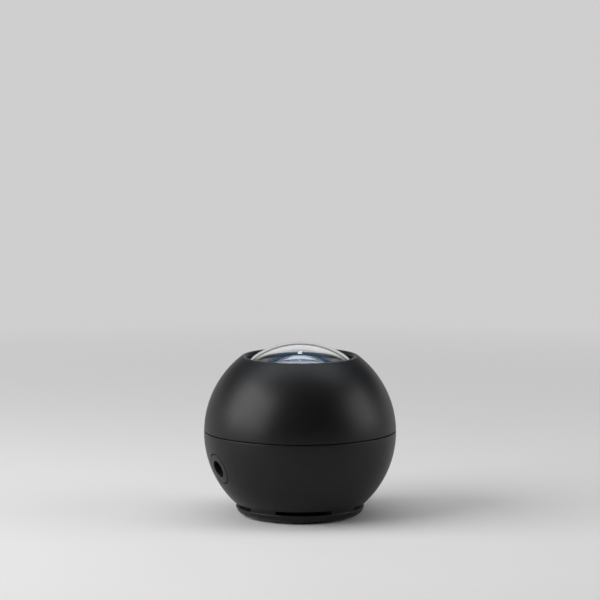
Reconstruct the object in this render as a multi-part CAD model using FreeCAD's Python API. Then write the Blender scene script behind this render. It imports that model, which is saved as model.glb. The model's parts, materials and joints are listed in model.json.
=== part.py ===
"""Planetarium projector: a truncated ball on a low foot, with a glass dome over its lens.

Frame: millimetres, +Z up, origin on the floor under the ball's centre, front towards -Y.
The upper half turns about the vertical axis and focuses the lens through a helical cam,
the star disc turns under the lens, driven by a small gear train, and two buttons sit at the back.
"""
import FreeCAD, Part
import os
from math import acos, asin, atan2, cos, degrees, pi, radians, sin, sqrt, tan

V = FreeCAD.Vector

# ---------------------------------------------------------------- driving dimensions, mm and degrees

# Ball
BALL_R = 60.0            # outer radius of the ball
BALL_CUT_Z = 8.6         # height of the flat on which the ball stands
BALL_CUT_DROP = 43.5     # from the ball's centre down to that flat
SHELL_WALL = 2.6         # wall of both half shells
SEAM_RISE = 1.5          # parting line above the ball's centre
SEAM_GAP = 0.5           # height of the parting line
SEAM_CHAMFER = 0.35      # broken edge on both sides of the parting line

# Foot
FOOT_RIM_INSET = 1.225   # the foot's rim inside the edge of the ball's flat
FOOT_CURVE_R = 5.2       # radius of the foot's rounded flank
FOOT_SLOT_H = 2.5        # height of the air slots between foot and ball
FOOT_WALL = 2.3          # wall of the foot
LAND_ANGLE = 28.0        # width of one land that carries the ball
LAND_FIRST = -126.6      # direction of the first land's middle
LAND_PAIR_ANGLE = 79.6   # from it to the second land; two more stand opposite
LAND_INSET = 0.8         # lands inside the rim's edge
GRIP_RING_INSET = 7.1    # middle of the anti-slip ring inside the foot's flank
GRIP_RING_W = 3.0        # its width
GRIP_RING_H = 1.8        # its height
GRIP_RING_PROUD = 0.9    # how far it stands below the foot
FOOT_SCREW_INSET = 6.8   # the foot's screws inside the anti-slip ring's middle
FOOT_SCREW_COUNT = 4
FOOT_POST_R = 3.6        # posts round those screws
FOOT_RIB_W = 1.6         # stiffening rib that joins the posts
FOOT_RIB_GAP = 0.8       # from it up to the ball

# Opening, dome and bezel
OPENING_R = 33.0         # inner wall of the opening at the top
LIP_R = 2.2              # rounding of its lip
NECK_WALL = 2.4          # wall of the neck that hangs inside the opening
DOME_GAP = 0.3           # between the dome's skirt and the neck
DOME_CURVE_R = 53.5      # outer radius of curvature of the dome
DOME_TOP_DROP = 3.9      # dome's top below the whole ball's top
DOME_GLASS = 1.9         # thickness of the dome
DOME_SKIRT_H = 3.6       # straight skirt below the dome
DOME_GASKET_H = 0.6      # gasket under the skirt
DOME_SEAT_W = 2.8        # width of the ledge that carries the dome
DOME_SEAT_H = 2.2        # thickness of that ledge
DOME_CLIP_H = 0.8        # spring ring between skirt and neck
DOME_CLIP_RISE = 1.4     # ring above the skirt's foot
DOME_CLIP_SET = 0.6      # how deep it sits in the neck's wall
DOME_CLIP_BITE = 0.45    # how deep it sits in the skirt
BEZEL_EDGE_R = 27.0      # upper edge of the black bezel
BEZEL_DOME_GAP = 2.17    # from that edge up to the dome
BEZEL_DISH = 1.6         # how far the bezel falls towards the lens
BEZEL_WALL = 1.6         # thickness of the bezel

# Lens unit
LENS_DOME_GAP = 6.2      # front lens: its top below the dome
LENS_CURVE_R = 29.7      # front lens: radius of curvature
LENS_R = 20.0            # front and middle lens: outer radius
LENS_EDGE_H = 3.2        # front lens: thickness at the edge
LENS_SPACER_H = 4.0      # spacer between front and middle lens
MIDDLE_LENS_H = 6.0      # middle lens: thickness at the centre
MIDDLE_LENS_CURVE_R = 110.0
REAR_LENS_R = 15.0
REAR_LENS_H = 4.5        # rear lens: thickness at the centre
REAR_LENS_CURVE_R = 70.0
REAR_LENS_RING_H = 2.4   # ring that holds the rear lens
STOP_R = 12.0            # aperture stop inside the barrel
STOP_H = 9.0             # length of the stop
NOSE_R = 22.0            # barrel: outer radius of the nose
BARREL_R = 24.0          # barrel: outer radius of the guided part
BARREL_GUIDED_H = 24.0   # barrel: length of the guided part
FRONT_RING_H = 2.2       # ring that holds the front lens
RING_WALL = 1.5          # wall of the lens rings
BEZEL_NOSE_GAP = 0.7     # clearance between nose and bezel

# Focus: guide tube, cam tube and pins
GUIDE_WALL = 2.2         # wall of the guide tube
CAM_GAP = 0.6            # between guide tube and cam tube
CAM_WALL = 2.2           # wall of the cam tube
CAM_PIN_R = 1.5
CAM_PIN_COUNT = 3
CAM_PIN_FIRST = 90.0     # direction of the first pin
CAM_PIN_SEAT = 3.5       # how deep a pin sits in the barrel
CAM_PIN_DROP = 26.2      # pins below the front lens's top
FOCUS_TURN = 90.0        # whole turn of the upper half
FOCUS_TRAVEL = 3.5       # whole travel of the lens unit
SLOT_SPARE = 4.0         # extra turn at each end of a cam slot, degrees
CAM_FLANGE_H = 2.4       # flange that carries the cam tube
CAM_SCREW_FIRST = 30.0
CAM_TUBE_BOTTOM_RISE = 8.0   # lower end of the cam tube above the ball's centre

# Turning joint between the half shells
SPIGOT_GAP = 0.35        # between the lower shell's spigot and the upper shell
SPIGOT_WALL = 1.8
SPIGOT_H = 3.8           # spigot above the seam
GLIDE_RING_H = 0.8
TURRET_FLANGE_H = 2.2    # inner flange of the upper shell
TURRET_FLANGE_W = 5.9    # its width
KEEPER_COUNT = 3
KEEPER_FIRST = 30.0
KEEPER_W = 7.0
KEEPER_T = 1.6
KEEPER_FOOT_DROP = 3.0   # their feet below the lower shell's rim
KEEPER_INSET = 6.405     # their inner faces inside the spigot

# Star disc and gear train
DISC_PLANE_DROP = 2.6    # star disc below the ball's centre
DISC_R = 24.0
DISC_H = 0.4
HUB_R = 20.0             # hub on which the rotor turns
HUB_WALL = 2.6
ROTOR_WALL = 2.0
GEAR_MODULE = 0.8
GEAR_H = 4.0
ROTOR_TEETH = 72
IDLER_TEETH = 20
PINION_TEETH = 16
PRESSURE_ANGLE = 20.0
ADDENDUM = 0.72          # tooth height outside the pitch circle
DEDENDUM = 0.96          # tooth height inside it
BACKLASH = 0.12          # taken off each tooth's thickness at the pitch circle
IDLER_AT = 190.0         # direction of the idler gear
MOTOR_INSET = 7.0        # motor's axis inside the chassis plate's edge
MOTOR_EAR_T = 1.2        # thickness of the motor's ears
MOTOR_R = 7.5
MOTOR_H = 15.0
MOTOR_EAR_AT = 10.5      # screws beside the motor's shaft
MOTOR_SHAFT_R = 1.5
IDLER_PIN_R = 1.5

# Chassis
CHASSIS_EDGE_GAP = 8.5745    # from the chassis plate to the ball's inner wall
CHASSIS_H = 2.5
CHASSIS_DROP = 9.7       # underside of the chassis plate below the ball's centre
PILLAR_INSET = 4.5       # pillars that carry the chassis, inside its edge
PILLAR_R = 3.2
PILLAR_COUNT = 4
PILLAR_FIRST = 45.0
GUIDE_LEG_AT_R = 36.0    # legs of the lens guide
GUIDE_LEG_R = 3.0
GUIDE_LEG_FIRST = 30.0
GUIDE_FLANGE_H = 2.4

# Lamp
LAMP_R = 20.0            # lamp housing: outer radius
LAMP_WALL = 2.2
LAMP_FLANGE_R = 25.5
LAMP_FLANGE_H = 2.0
LAMP_H = 17.0            # chassis to heat sink
LAMP_EAR_AT = 22.6       # ears that carry the heat sink
LAMP_EAR_R = 3.0
CONDENSER_H = 6.5
CONDENSER_CURVE_R = 30.0
CONDENSER_DROP = 2.6     # top of the condenser below the chassis
HEAT_SINK_R = 20.5
HEAT_SINK_BASE_H = 3.6
HEAT_SINK_FIN_H = 7.0
HEAT_SINK_FINS = 7
HEAT_SINK_FIN_T = 1.8
LED_BOARD_R = 13.0
LED_BOARD_H = 1.6
LED_SIZE = 5.0
LED_H = 1.4
LED_DOME_R = 1.8

# Electronics
BOARD_X = 23.5           # main board: edge nearest to the axis
BOARD_W = 19.0
BOARD_L = 47.0
BOARD_H = 1.6
BOARD_DROP = 7.5         # top of the main board below the chassis
BOARD_SCREW_INSET = 3.0
HEADER_AT = 13.5         # wire headers: distance from the middle of the board
HEADER_L = 5.0
HEADER_H = 5.0
CHIP_SIZE = 8.0          # control chip: length of its sides
CHIP_H = 1.4
COIL_R = 3.6             # coil of the lamp's driver
COIL_H = 4.0
CAPACITOR_R = 3.2
CAPACITOR_H = 9.0
WIRE_R = 0.6
WIRE_RISE = 2.5          # wires above the main board

# Power inlet
INLET_AT = 206.65        # direction of the inlet, seen from above
INLET_TILT = 18.9        # how far it points down
INLET_PLATE_R = 9.6      # round plate flush with the ball
INLET_PLATE_GAP = 0.4    # joint line round the plate
INLET_BORE_R = 5.5       # recess for the plug
INLET_DEPTH = 6.2        # ball surface to the bottom of the recess
INLET_FLANGE_R = 12.0
INLET_CUP_WALL = 1.5
JACK_BARREL_R = 4.0
JACK_HOLE_R = 2.85
JACK_PIN_R = 1.05
JACK_BODY_W = 9.0
JACK_BODY_L = 9.0
JACK_NUT_H = 1.8
JACK_NUT_R = 5.0
JACK_NOTCH_GAP = 1.5     # notch of the chassis beside the jack

# Push buttons
BUTTON_TILT = 20.0       # how far the buttons point down
BUTTON_SPACING = 18.0
BUTTON_R = 4.2
BUTTON_GAP = 0.35
BUTTON_PROUD = 0.7
BUTTON_TRAVEL = 0.6
BUTTON_CAP_L = 8.0
BUTTON_LIP = 1.1
BUTTON_LIP_H = 1.0
SWITCH_SIZE = 6.2
SWITCH_H = 3.4
PLUNGER_R = 1.7
PLUNGER_SEAT = 1.2       # a plunger's foot above the switch board
SWITCH_BOARD_W = 40.0
SWITCH_BOARD_L = 12.0
SWITCH_BOARD_H = 1.2
SWITCH_POST_AT = 17.4
SWITCH_POST_R = 2.6

# Fasteners and fits
SCREW_R = 1.1            # shank of the small screws
SCREW_HEAD_R = 2.0
SCREW_HEAD_H = 1.3
SCREW_BITE = 4.0         # thread inside a pilot hole
RUN = 0.06               # radial clearance of running fits
SLIP = 0.08              # radial clearance of seated pieces
SCREW_PLAY = 0.25        # round a shank that passes through
AIR = 0.3                # between pieces that only pass each other

# ---------------------------------------------------------------- levels and radii worked out from them

BALL_Z = BALL_CUT_Z + BALL_CUT_DROP
BALL_CUT_R = sqrt(BALL_R ** 2 - BALL_CUT_DROP ** 2)
INNER_R = BALL_R - SHELL_WALL
FLOOR_Z = BALL_CUT_Z + SHELL_WALL
SEAM_Z = BALL_Z + SEAM_RISE
LOWER_TOP_Z = SEAM_Z - SEAM_GAP / 2
UPPER_BOTTOM_Z = SEAM_Z + SEAM_GAP / 2
SPIGOT_TOP_Z = SEAM_Z + SPIGOT_H
KEEPER_FOOT_Z = LOWER_TOP_Z - KEEPER_FOOT_DROP
SPIGOT_R = sqrt(INNER_R ** 2 - (SPIGOT_TOP_Z - BALL_Z) ** 2) - SPIGOT_GAP
KEEPER_POST_R = SPIGOT_R - SPIGOT_WALL - KEEPER_INSET
TURRET_FLANGE_R = INNER_R - TURRET_FLANGE_W
GLIDE_TOP_Z = SPIGOT_TOP_Z + GLIDE_RING_H
FLANGE_Z = GLIDE_TOP_Z + RUN
FLANGE_TOP_Z = FLANGE_Z + TURRET_FLANGE_H

FOOT_RIM_R = BALL_CUT_R - FOOT_RIM_INSET
FOOT_RIM_Z = BALL_CUT_Z - FOOT_SLOT_H
FOOT_BOTTOM_Z = FOOT_RIM_Z - FOOT_CURVE_R
FOOT_CURVE_AT = FOOT_RIM_R - FOOT_CURVE_R
FOOT_FLOOR_Z = FOOT_BOTTOM_Z + FOOT_WALL
GRIP_RING_R = FOOT_CURVE_AT - GRIP_RING_INSET
FOOT_SCREW_AT_R = GRIP_RING_R - FOOT_SCREW_INSET
GRIP_RING_Z = FOOT_BOTTOM_Z - GRIP_RING_PROUD
GRIP_GROOVE_Z = GRIP_RING_Z + GRIP_RING_H

LIP_AT_R = OPENING_R + LIP_R
LIP_Z = BALL_Z + sqrt((BALL_R - LIP_R) ** 2 - LIP_AT_R ** 2)
DOME_TOP_Z = BALL_Z + BALL_R - DOME_TOP_DROP
DOME_CENTRE_Z = DOME_TOP_Z - DOME_CURVE_R
DOME_R = OPENING_R - DOME_GAP
DOME_SEAT_R = OPENING_R - DOME_SEAT_W
DOME_EDGE_Z = DOME_CENTRE_Z + sqrt(DOME_CURVE_R ** 2 - DOME_R ** 2)
DOME_FOOT_Z = DOME_EDGE_Z - DOME_SKIRT_H
DOME_SEAT_Z = DOME_FOOT_Z - DOME_GASKET_H
DOME_CLIP_Z = DOME_FOOT_Z + DOME_CLIP_RISE
NECK_R = OPENING_R + NECK_WALL
NECK_BOTTOM_Z = DOME_SEAT_Z - DOME_SEAT_H
CAM_SCREW_AT_R = NECK_R + SCREW_HEAD_R

LENS_TOP_Z = DOME_TOP_Z - DOME_GLASS - LENS_DOME_GAP
LENS_CENTRE_Z = LENS_TOP_Z - LENS_CURVE_R
LENS_EDGE_Z = LENS_CENTRE_Z + sqrt(LENS_CURVE_R ** 2 - LENS_R ** 2)
LENS_BACK_Z = LENS_EDGE_Z - LENS_EDGE_H
SPACER_Z = LENS_BACK_Z - LENS_SPACER_H
MIDDLE_LENS_Z = SPACER_Z - MIDDLE_LENS_H
NOSE_TOP_Z = LENS_EDGE_Z + FRONT_RING_H
CAM_PIN_Z = LENS_TOP_Z - CAM_PIN_DROP
BARREL_Z = CAM_PIN_Z - BARREL_GUIDED_H / 2
BARREL_SHOULDER_Z = CAM_PIN_Z + BARREL_GUIDED_H / 2
STOP_TOP_Z = MIDDLE_LENS_Z + MIDDLE_LENS_CURVE_R - sqrt(MIDDLE_LENS_CURVE_R ** 2 - STOP_R ** 2)
STOP_BOTTOM_Z = STOP_TOP_Z - STOP_H
REAR_LENS_TOP_Z = STOP_BOTTOM_Z + REAR_LENS_CURVE_R - sqrt(REAR_LENS_CURVE_R ** 2 - STOP_R ** 2)
REAR_LENS_Z = REAR_LENS_TOP_Z - REAR_LENS_H

GUIDE_BORE_R = BARREL_R + RUN
GUIDE_R = GUIDE_BORE_R + GUIDE_WALL
CAM_BORE_R = GUIDE_R + CAM_GAP
CAM_R = CAM_BORE_R + CAM_WALL
CAM_LEAD = FOCUS_TRAVEL * 360.0 / FOCUS_TURN
CAM_TOP_Z = NECK_BOTTOM_Z
CAM_BOTTOM_Z = BALL_Z + CAM_TUBE_BOTTOM_RISE
BEZEL_TOP_Z = DOME_CENTRE_Z + sqrt((DOME_CURVE_R - DOME_GLASS) ** 2 - BEZEL_EDGE_R ** 2) - BEZEL_DOME_GAP
BEZEL_BORE_R = NOSE_R + BEZEL_NOSE_GAP

CHASSIS_Z = BALL_Z - CHASSIS_DROP
CHASSIS_R = sqrt(INNER_R ** 2 - CHASSIS_DROP ** 2) - CHASSIS_EDGE_GAP
PILLAR_AT_R = CHASSIS_R - PILLAR_INSET
MOTOR_AT_R = CHASSIS_R - MOTOR_INSET
CHASSIS_TOP_Z = CHASSIS_Z + CHASSIS_H
DISC_Z = BALL_Z - DISC_PLANE_DROP
GEAR_Z = CHASSIS_TOP_Z + 3 * AIR
GEAR_TOP_Z = GEAR_Z + GEAR_H
GUIDE_FLANGE_Z = CAM_BOTTOM_Z - AIR - GUIDE_FLANGE_H - SCREW_HEAD_H
ROTOR_PITCH_R = GEAR_MODULE * ROTOR_TEETH / 2
IDLER_PITCH_R = GEAR_MODULE * IDLER_TEETH / 2
PINION_PITCH_R = GEAR_MODULE * PINION_TEETH / 2
IDLER_AT_R = ROTOR_PITCH_R + IDLER_PITCH_R
PINION_REACH = IDLER_PITCH_R + PINION_PITCH_R
MOTOR_TURN = degrees(acos((MOTOR_AT_R ** 2 + IDLER_AT_R ** 2 - PINION_REACH ** 2)
                          / (2 * MOTOR_AT_R * IDLER_AT_R)))
MOTOR_AT = IDLER_AT - MOTOR_TURN

LAMP_Z = CHASSIS_Z - LAMP_H
CONDENSER_TOP_Z = CHASSIS_Z - CONDENSER_DROP
CONDENSER_Z = CONDENSER_TOP_Z - CONDENSER_H
CONDENSER_R = LAMP_R - LAMP_WALL - SLIP
BOARD_TOP_Z = CHASSIS_Z - BOARD_DROP
BOARD_Z = BOARD_TOP_Z - BOARD_H

INLET_BOTTOM = BALL_R - INLET_DEPTH
INLET_NUT_SEAT = INLET_BOTTOM - JACK_NUT_H
INLET_BACK = INLET_NUT_SEAT - INLET_CUP_WALL
JACK_BACK = INLET_BACK - JACK_BODY_L
BUTTON_FACE = sqrt(BALL_R ** 2 - (BUTTON_SPACING / 2) ** 2) + BUTTON_PROUD
BUTTON_INNER = BUTTON_FACE - BUTTON_CAP_L
SWITCH_TOP = BUTTON_INNER - 1.0
SWITCH_BOARD_TOP = SWITCH_TOP - SWITCH_H


# ---------------------------------------------------------------- helpers

def polar(radius, direction, z=0.0):
    """Point at a radius and a direction in degrees round the vertical axis."""
    return V(radius * cos(radians(direction)), radius * sin(radians(direction)), z)


def ring_of(count, first=0.0):
    """Directions of evenly spaced copies round the axis."""
    return [first + index * 360.0 / count for index in range(count)]


def rod(radius, bottom, top, at=V(0, 0, 0)):
    """Upright cylinder between two heights."""
    return Part.makeCylinder(radius, top - bottom, V(at.x, at.y, bottom))


def tube(outer, inner, bottom, top, at=V(0, 0, 0)):
    """Upright tube between two heights."""
    return rod(outer, bottom, top, at).cut(rod(inner, bottom, top, at))


def box(x0, x1, y0, y1, z0, z1):
    """Box between two corners."""
    return Part.makeBox(x1 - x0, y1 - y0, z1 - z0, V(x0, y0, z0))


def ball(radius, centre_z=BALL_Z):
    """Sphere on the vertical axis."""
    return Part.makeSphere(radius, V(0, 0, centre_z))


def outline(start, *steps):
    """Closed wire in the XZ plane. A step is a point, or a (through, end) pair for an arc."""
    edges = []
    here = start
    for step in steps + (start,):
        if isinstance(step[0], tuple):
            through, there = step
            curve = Part.Arc(V(here[0], 0, here[1]), V(through[0], 0, through[1]), V(there[0], 0, there[1]))
            edges.append(curve.toShape())
            here = there
        elif step != here:
            edges.append(Part.LineSegment(V(here[0], 0, here[1]), V(step[0], 0, step[1])).toShape())
            here = step
    return Part.Wire(edges)


def turned(start, *steps, angle=360.0, first=0.0):
    """Solid of revolution about the vertical axis."""
    solid = Part.Face(outline(start, *steps)).revolve(V(0, 0, 0), V(0, 0, 1), angle)
    solid.rotate(V(0, 0, 0), V(0, 0, 1), first)
    return solid


def on_circle(radius, centre_z, z):
    """Radius at a height on a circle about the axis."""
    return sqrt(radius ** 2 - (z - centre_z) ** 2)


def arc_on(radius, centre_z, z_from, z_to):
    """Arc step on a circle about the axis, between two heights."""
    start = asin(min((z_from - centre_z) / radius, 1.0))
    end = asin(min((z_to - centre_z) / radius, 1.0))
    middle = (start + end) / 2
    through = (radius * cos(middle), centre_z + radius * sin(middle))
    return (through, (radius * cos(end), centre_z + radius * sin(end)))


def group(solids):
    """Separate solids in one node."""
    return Part.makeCompound(solids)


def screw(at, z, length, up=True):
    """Pan head screw whose head sits on the face at z; the shank points up or down."""
    head = SCREW_HEAD_H if up else -SCREW_HEAD_H
    shank = length if up else -length
    low_head, high_head = sorted((z, z - head))
    low_shank, high_shank = sorted((z - head / 2, z + shank))
    body = rod(SCREW_HEAD_R, low_head, high_head, at).fuse(rod(SCREW_R, low_shank, high_shank, at))
    drive_depth = SCREW_HEAD_H * 0.6
    face = z - head
    low_drive, high_drive = sorted((face, face + (drive_depth if up else -drive_depth)))
    half = SCREW_HEAD_R * 0.6
    thin = SCREW_HEAD_R * 0.16
    for long_x, long_y in ((half, thin), (thin, half)):
        body = body.cut(box(at.x - long_x, at.x + long_x, at.y - long_y, at.y + long_y, low_drive, high_drive))
    return body


def pilot(at, z, depth, up=True):
    """Pilot hole with a little room below the screw's tip."""
    low, high = sorted((z, z + (depth if up else -depth)))
    return rod(SCREW_R + RUN, low, high, at)


def along(direction, tilt, shape):
    """Turns a shape made along +Z to point out of the ball: direction round the axis, tilt below level."""
    moved = shape.copy()
    moved.rotate(V(0, 0, 0), V(0, 1, 0), 90.0 + tilt)
    moved.rotate(V(0, 0, 0), V(0, 0, 1), direction)
    moved.translate(V(0, 0, BALL_Z))
    return moved


def involute_point(base_r, radius, half_angle):
    """Point of a tooth's right flank, whose half angle at the base circle is given."""
    roll = sqrt(max((radius / base_r) ** 2 - 1.0, 0.0))
    angle = half_angle - (roll - atan2(roll, 1.0))
    return angle, radius


def gear(teeth, bottom, top, first=0.0):
    """Spur gear about the vertical axis with a tooth's middle at the first direction."""
    pitch_r = GEAR_MODULE * teeth / 2
    base_r = pitch_r * cos(radians(PRESSURE_ANGLE))
    tip_r = pitch_r + ADDENDUM
    root_r = pitch_r - DEDENDUM
    flank_r = max(base_r, root_r)
    roll = sqrt((pitch_r / base_r) ** 2 - 1.0)
    half = (pi * GEAR_MODULE / 2 - BACKLASH) / (2 * pitch_r) + roll - atan2(roll, 1.0)
    flank = [involute_point(base_r, flank_r + share * (tip_r - flank_r), half) for share in (0.0, 0.5, 1.0)]
    edges = []
    step = 2 * pi / teeth

    def spot(angle, radius):
        return V(radius * cos(angle), radius * sin(angle), bottom)

    for index in range(teeth):
        middle = radians(first) + index * step
        start = [spot(middle - angle, radius) for angle, radius in flank]
        end = [spot(middle + angle, radius) for angle, radius in flank]
        foot_angle = flank[0][0]
        if flank_r > root_r:
            edges.append(Part.LineSegment(spot(middle - foot_angle, root_r), start[0]).toShape())
        edges.append(Part.Arc(*start).toShape())
        edges.append(Part.Arc(start[2], spot(middle, tip_r), end[2]).toShape())
        edges.append(Part.Arc(end[2], end[1], end[0]).toShape())
        if flank_r > root_r:
            edges.append(Part.LineSegment(end[0], spot(middle + foot_angle, root_r)).toShape())
        edges.append(Part.Arc(spot(middle + foot_angle, root_r), spot(middle + step / 2, root_r),
                              spot(middle + step - foot_angle, root_r)).toShape())
    return Part.Face(Part.Wire(edges)).extrude(V(0, 0, top - bottom))


def meshing(first, teeth, direction, other_teeth):
    """Direction of a tooth of the next gear, so that it meshes in the given direction."""
    phase = (direction - first) * teeth / 360.0
    return direction + 180.0 - (0.5 - phase) * 360.0 / other_teeth


# ---------------------------------------------------------------- foot and shells

def foot_screw_places():
    return [polar(FOOT_SCREW_AT_R, direction) for direction in ring_of(FOOT_SCREW_COUNT, 45.0)]


def land_directions():
    """Middles of the four lands: one pair, and one opposite it."""
    return [LAND_FIRST + turn for turn in (0.0, LAND_PAIR_ANGLE, 180.0, 180.0 + LAND_PAIR_ANGLE)]


def make_foot_dish():
    """Shallow dish with a rounded flank; lands on its rim and posts round the screws carry the ball."""
    inner_r = FOOT_CURVE_R - FOOT_WALL
    slope = cos(pi / 4)
    dish = turned(
        (0, FOOT_BOTTOM_Z),
        (FOOT_CURVE_AT, FOOT_BOTTOM_Z),
        ((FOOT_CURVE_AT + FOOT_CURVE_R * slope, FOOT_RIM_Z - FOOT_CURVE_R * slope), (FOOT_RIM_R, FOOT_RIM_Z)),
        (FOOT_CURVE_AT + inner_r, FOOT_RIM_Z),
        ((FOOT_CURVE_AT + inner_r * slope, FOOT_RIM_Z - inner_r * slope), (FOOT_CURVE_AT, FOOT_FLOOR_Z)),
        (0, FOOT_FLOOR_Z))
    land_r = FOOT_RIM_R - LAND_INSET
    for middle in land_directions():
        land = turned((FOOT_RIM_R - FOOT_WALL, FOOT_RIM_Z - AIR), (land_r, FOOT_RIM_Z - AIR),
                      (land_r + LAND_INSET, BALL_CUT_Z), (FOOT_RIM_R - FOOT_WALL, BALL_CUT_Z),
                      angle=LAND_ANGLE, first=middle - LAND_ANGLE / 2)
        dish = dish.fuse(land)
    rib_r = FOOT_SCREW_AT_R + FOOT_POST_R + FOOT_RIB_W / 2
    dish = dish.fuse(tube(rib_r, rib_r - FOOT_RIB_W, FOOT_FLOOR_Z - AIR, BALL_CUT_Z - FOOT_RIB_GAP))
    for at in foot_screw_places():
        dish = dish.fuse(rod(FOOT_POST_R, FOOT_FLOOR_Z - AIR, BALL_CUT_Z, at))
        dish = dish.cut(rod(SCREW_R + SCREW_PLAY, FOOT_BOTTOM_Z, BALL_CUT_Z, at))
        dish = dish.cut(rod(SCREW_HEAD_R + SCREW_PLAY, FOOT_BOTTOM_Z, FOOT_FLOOR_Z, at))
    half = GRIP_RING_W / 2 + SLIP
    return dish.cut(tube(GRIP_RING_R + half, GRIP_RING_R - half, FOOT_BOTTOM_Z, GRIP_GROOVE_Z))


def make_anti_slip_ring():
    half = GRIP_RING_W / 2
    return tube(GRIP_RING_R + half, GRIP_RING_R - half, GRIP_RING_Z, GRIP_GROOVE_Z)


def make_foot_screws():
    length = BALL_CUT_Z - FOOT_FLOOR_Z + SCREW_BITE
    return group([screw(at, FOOT_FLOOR_Z, length) for at in foot_screw_places()])


def keeper_block(direction):
    """Block inside the lower shell that carries one keeper."""
    block = box(KEEPER_POST_R, BALL_R, -KEEPER_W / 2, KEEPER_W / 2, CHASSIS_TOP_Z, KEEPER_FOOT_Z)
    block.rotate(V(0, 0, 0), V(0, 0, 1), direction)
    return block.common(ball(BALL_R - SHELL_WALL / 2))


def button_wells(radius, inner, outer):
    """Rods along both buttons' axes."""
    rods = []
    for side in (-1, 1):
        rods.append(along(90.0, BUTTON_TILT, Part.makeCylinder(radius, outer - inner,
                                                              V(0, side * BUTTON_SPACING / 2, inner))))
    return rods


def switch_post(side, radius, inner, outer):
    """Rod along the axis of one post that carries the switch board."""
    return at_back(Part.makeCylinder(radius, outer - inner, V(0, side * SWITCH_POST_AT, inner)))


def make_lower_shell():
    """Lower half of the ball with its floor, the spigot for the upper half and all its bosses."""
    outer_top = LOWER_TOP_Z - SEAM_CHAMFER
    shell = turned(
        (0, BALL_CUT_Z),
        (on_circle(BALL_R, BALL_Z, BALL_CUT_Z), BALL_CUT_Z),
        arc_on(BALL_R, BALL_Z, BALL_CUT_Z, outer_top),
        (on_circle(BALL_R, BALL_Z, LOWER_TOP_Z) - SEAM_CHAMFER, LOWER_TOP_Z),
        (SPIGOT_R, LOWER_TOP_Z),
        (SPIGOT_R, SPIGOT_TOP_Z),
        (SPIGOT_R - SPIGOT_WALL, SPIGOT_TOP_Z),
        (SPIGOT_R - SPIGOT_WALL, BALL_Z - 2 * SEAM_RISE),
        (on_circle(INNER_R, BALL_Z, BALL_Z - 3 * SEAM_RISE), BALL_Z - 3 * SEAM_RISE),
        arc_on(INNER_R, BALL_Z, BALL_Z - 3 * SEAM_RISE, FLOOR_Z),
        (0, FLOOR_Z))
    middle_wall = ball(BALL_R - SHELL_WALL / 2)
    additions = []
    for direction in ring_of(PILLAR_COUNT, PILLAR_FIRST):
        pillar = rod(PILLAR_R, BALL_CUT_Z, CHASSIS_Z, polar(PILLAR_AT_R, direction))
        additions.append(pillar.common(middle_wall))
    for direction in ring_of(KEEPER_COUNT, KEEPER_FIRST):
        additions.append(keeper_block(direction))
    for at in foot_screw_places():
        additions.append(rod(FOOT_POST_R, FLOOR_Z - AIR, FLOOR_Z + SHELL_WALL, at))
    for well in button_wells(BUTTON_R + BUTTON_GAP + SHELL_WALL / 2, BUTTON_INNER + BUTTON_LIP_H + AIR, BALL_R):
        additions.append(well.common(middle_wall))
    for side in (-1, 1):
        additions.append(switch_post(side, SWITCH_POST_R, SWITCH_BOARD_TOP, BALL_R).common(middle_wall))
    shell = shell.fuse(additions)
    cuts = []
    for direction in ring_of(PILLAR_COUNT, PILLAR_FIRST):
        cuts.append(pilot(polar(PILLAR_AT_R, direction), CHASSIS_Z, 2 * SCREW_BITE, up=False))
    for direction in ring_of(KEEPER_COUNT, KEEPER_FIRST):
        cuts.append(pilot(keeper_screw_place(direction), KEEPER_FOOT_Z, SCREW_BITE + AIR, up=False))
    for at in foot_screw_places():
        cuts.append(pilot(at, BALL_CUT_Z, SCREW_BITE + AIR))
    cuts += button_wells(BUTTON_R + BUTTON_GAP, SWITCH_BOARD_TOP, BALL_R + BUTTON_PROUD)
    for side in (-1, 1):
        cuts.append(switch_post(side, SCREW_R + RUN, SWITCH_BOARD_TOP, SWITCH_BOARD_TOP + SCREW_BITE + AIR))
    cuts.append(along(INLET_AT, INLET_TILT, Part.makeCylinder(INLET_PLATE_R + INLET_PLATE_GAP, BALL_R,
                                                              V(0, 0, INLET_BACK))))
    for direction in ring_of(12):
        cuts.append(rod(SHELL_WALL, BALL_CUT_Z, FLOOR_Z, polar(GRIP_RING_R + SHELL_WALL, direction)))
    for cut in cuts:
        shell = shell.cut(cut)
    return shell


def cam_screw_places():
    return [polar(CAM_SCREW_AT_R, direction) for direction in ring_of(KEEPER_COUNT, CAM_SCREW_FIRST)]


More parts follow.
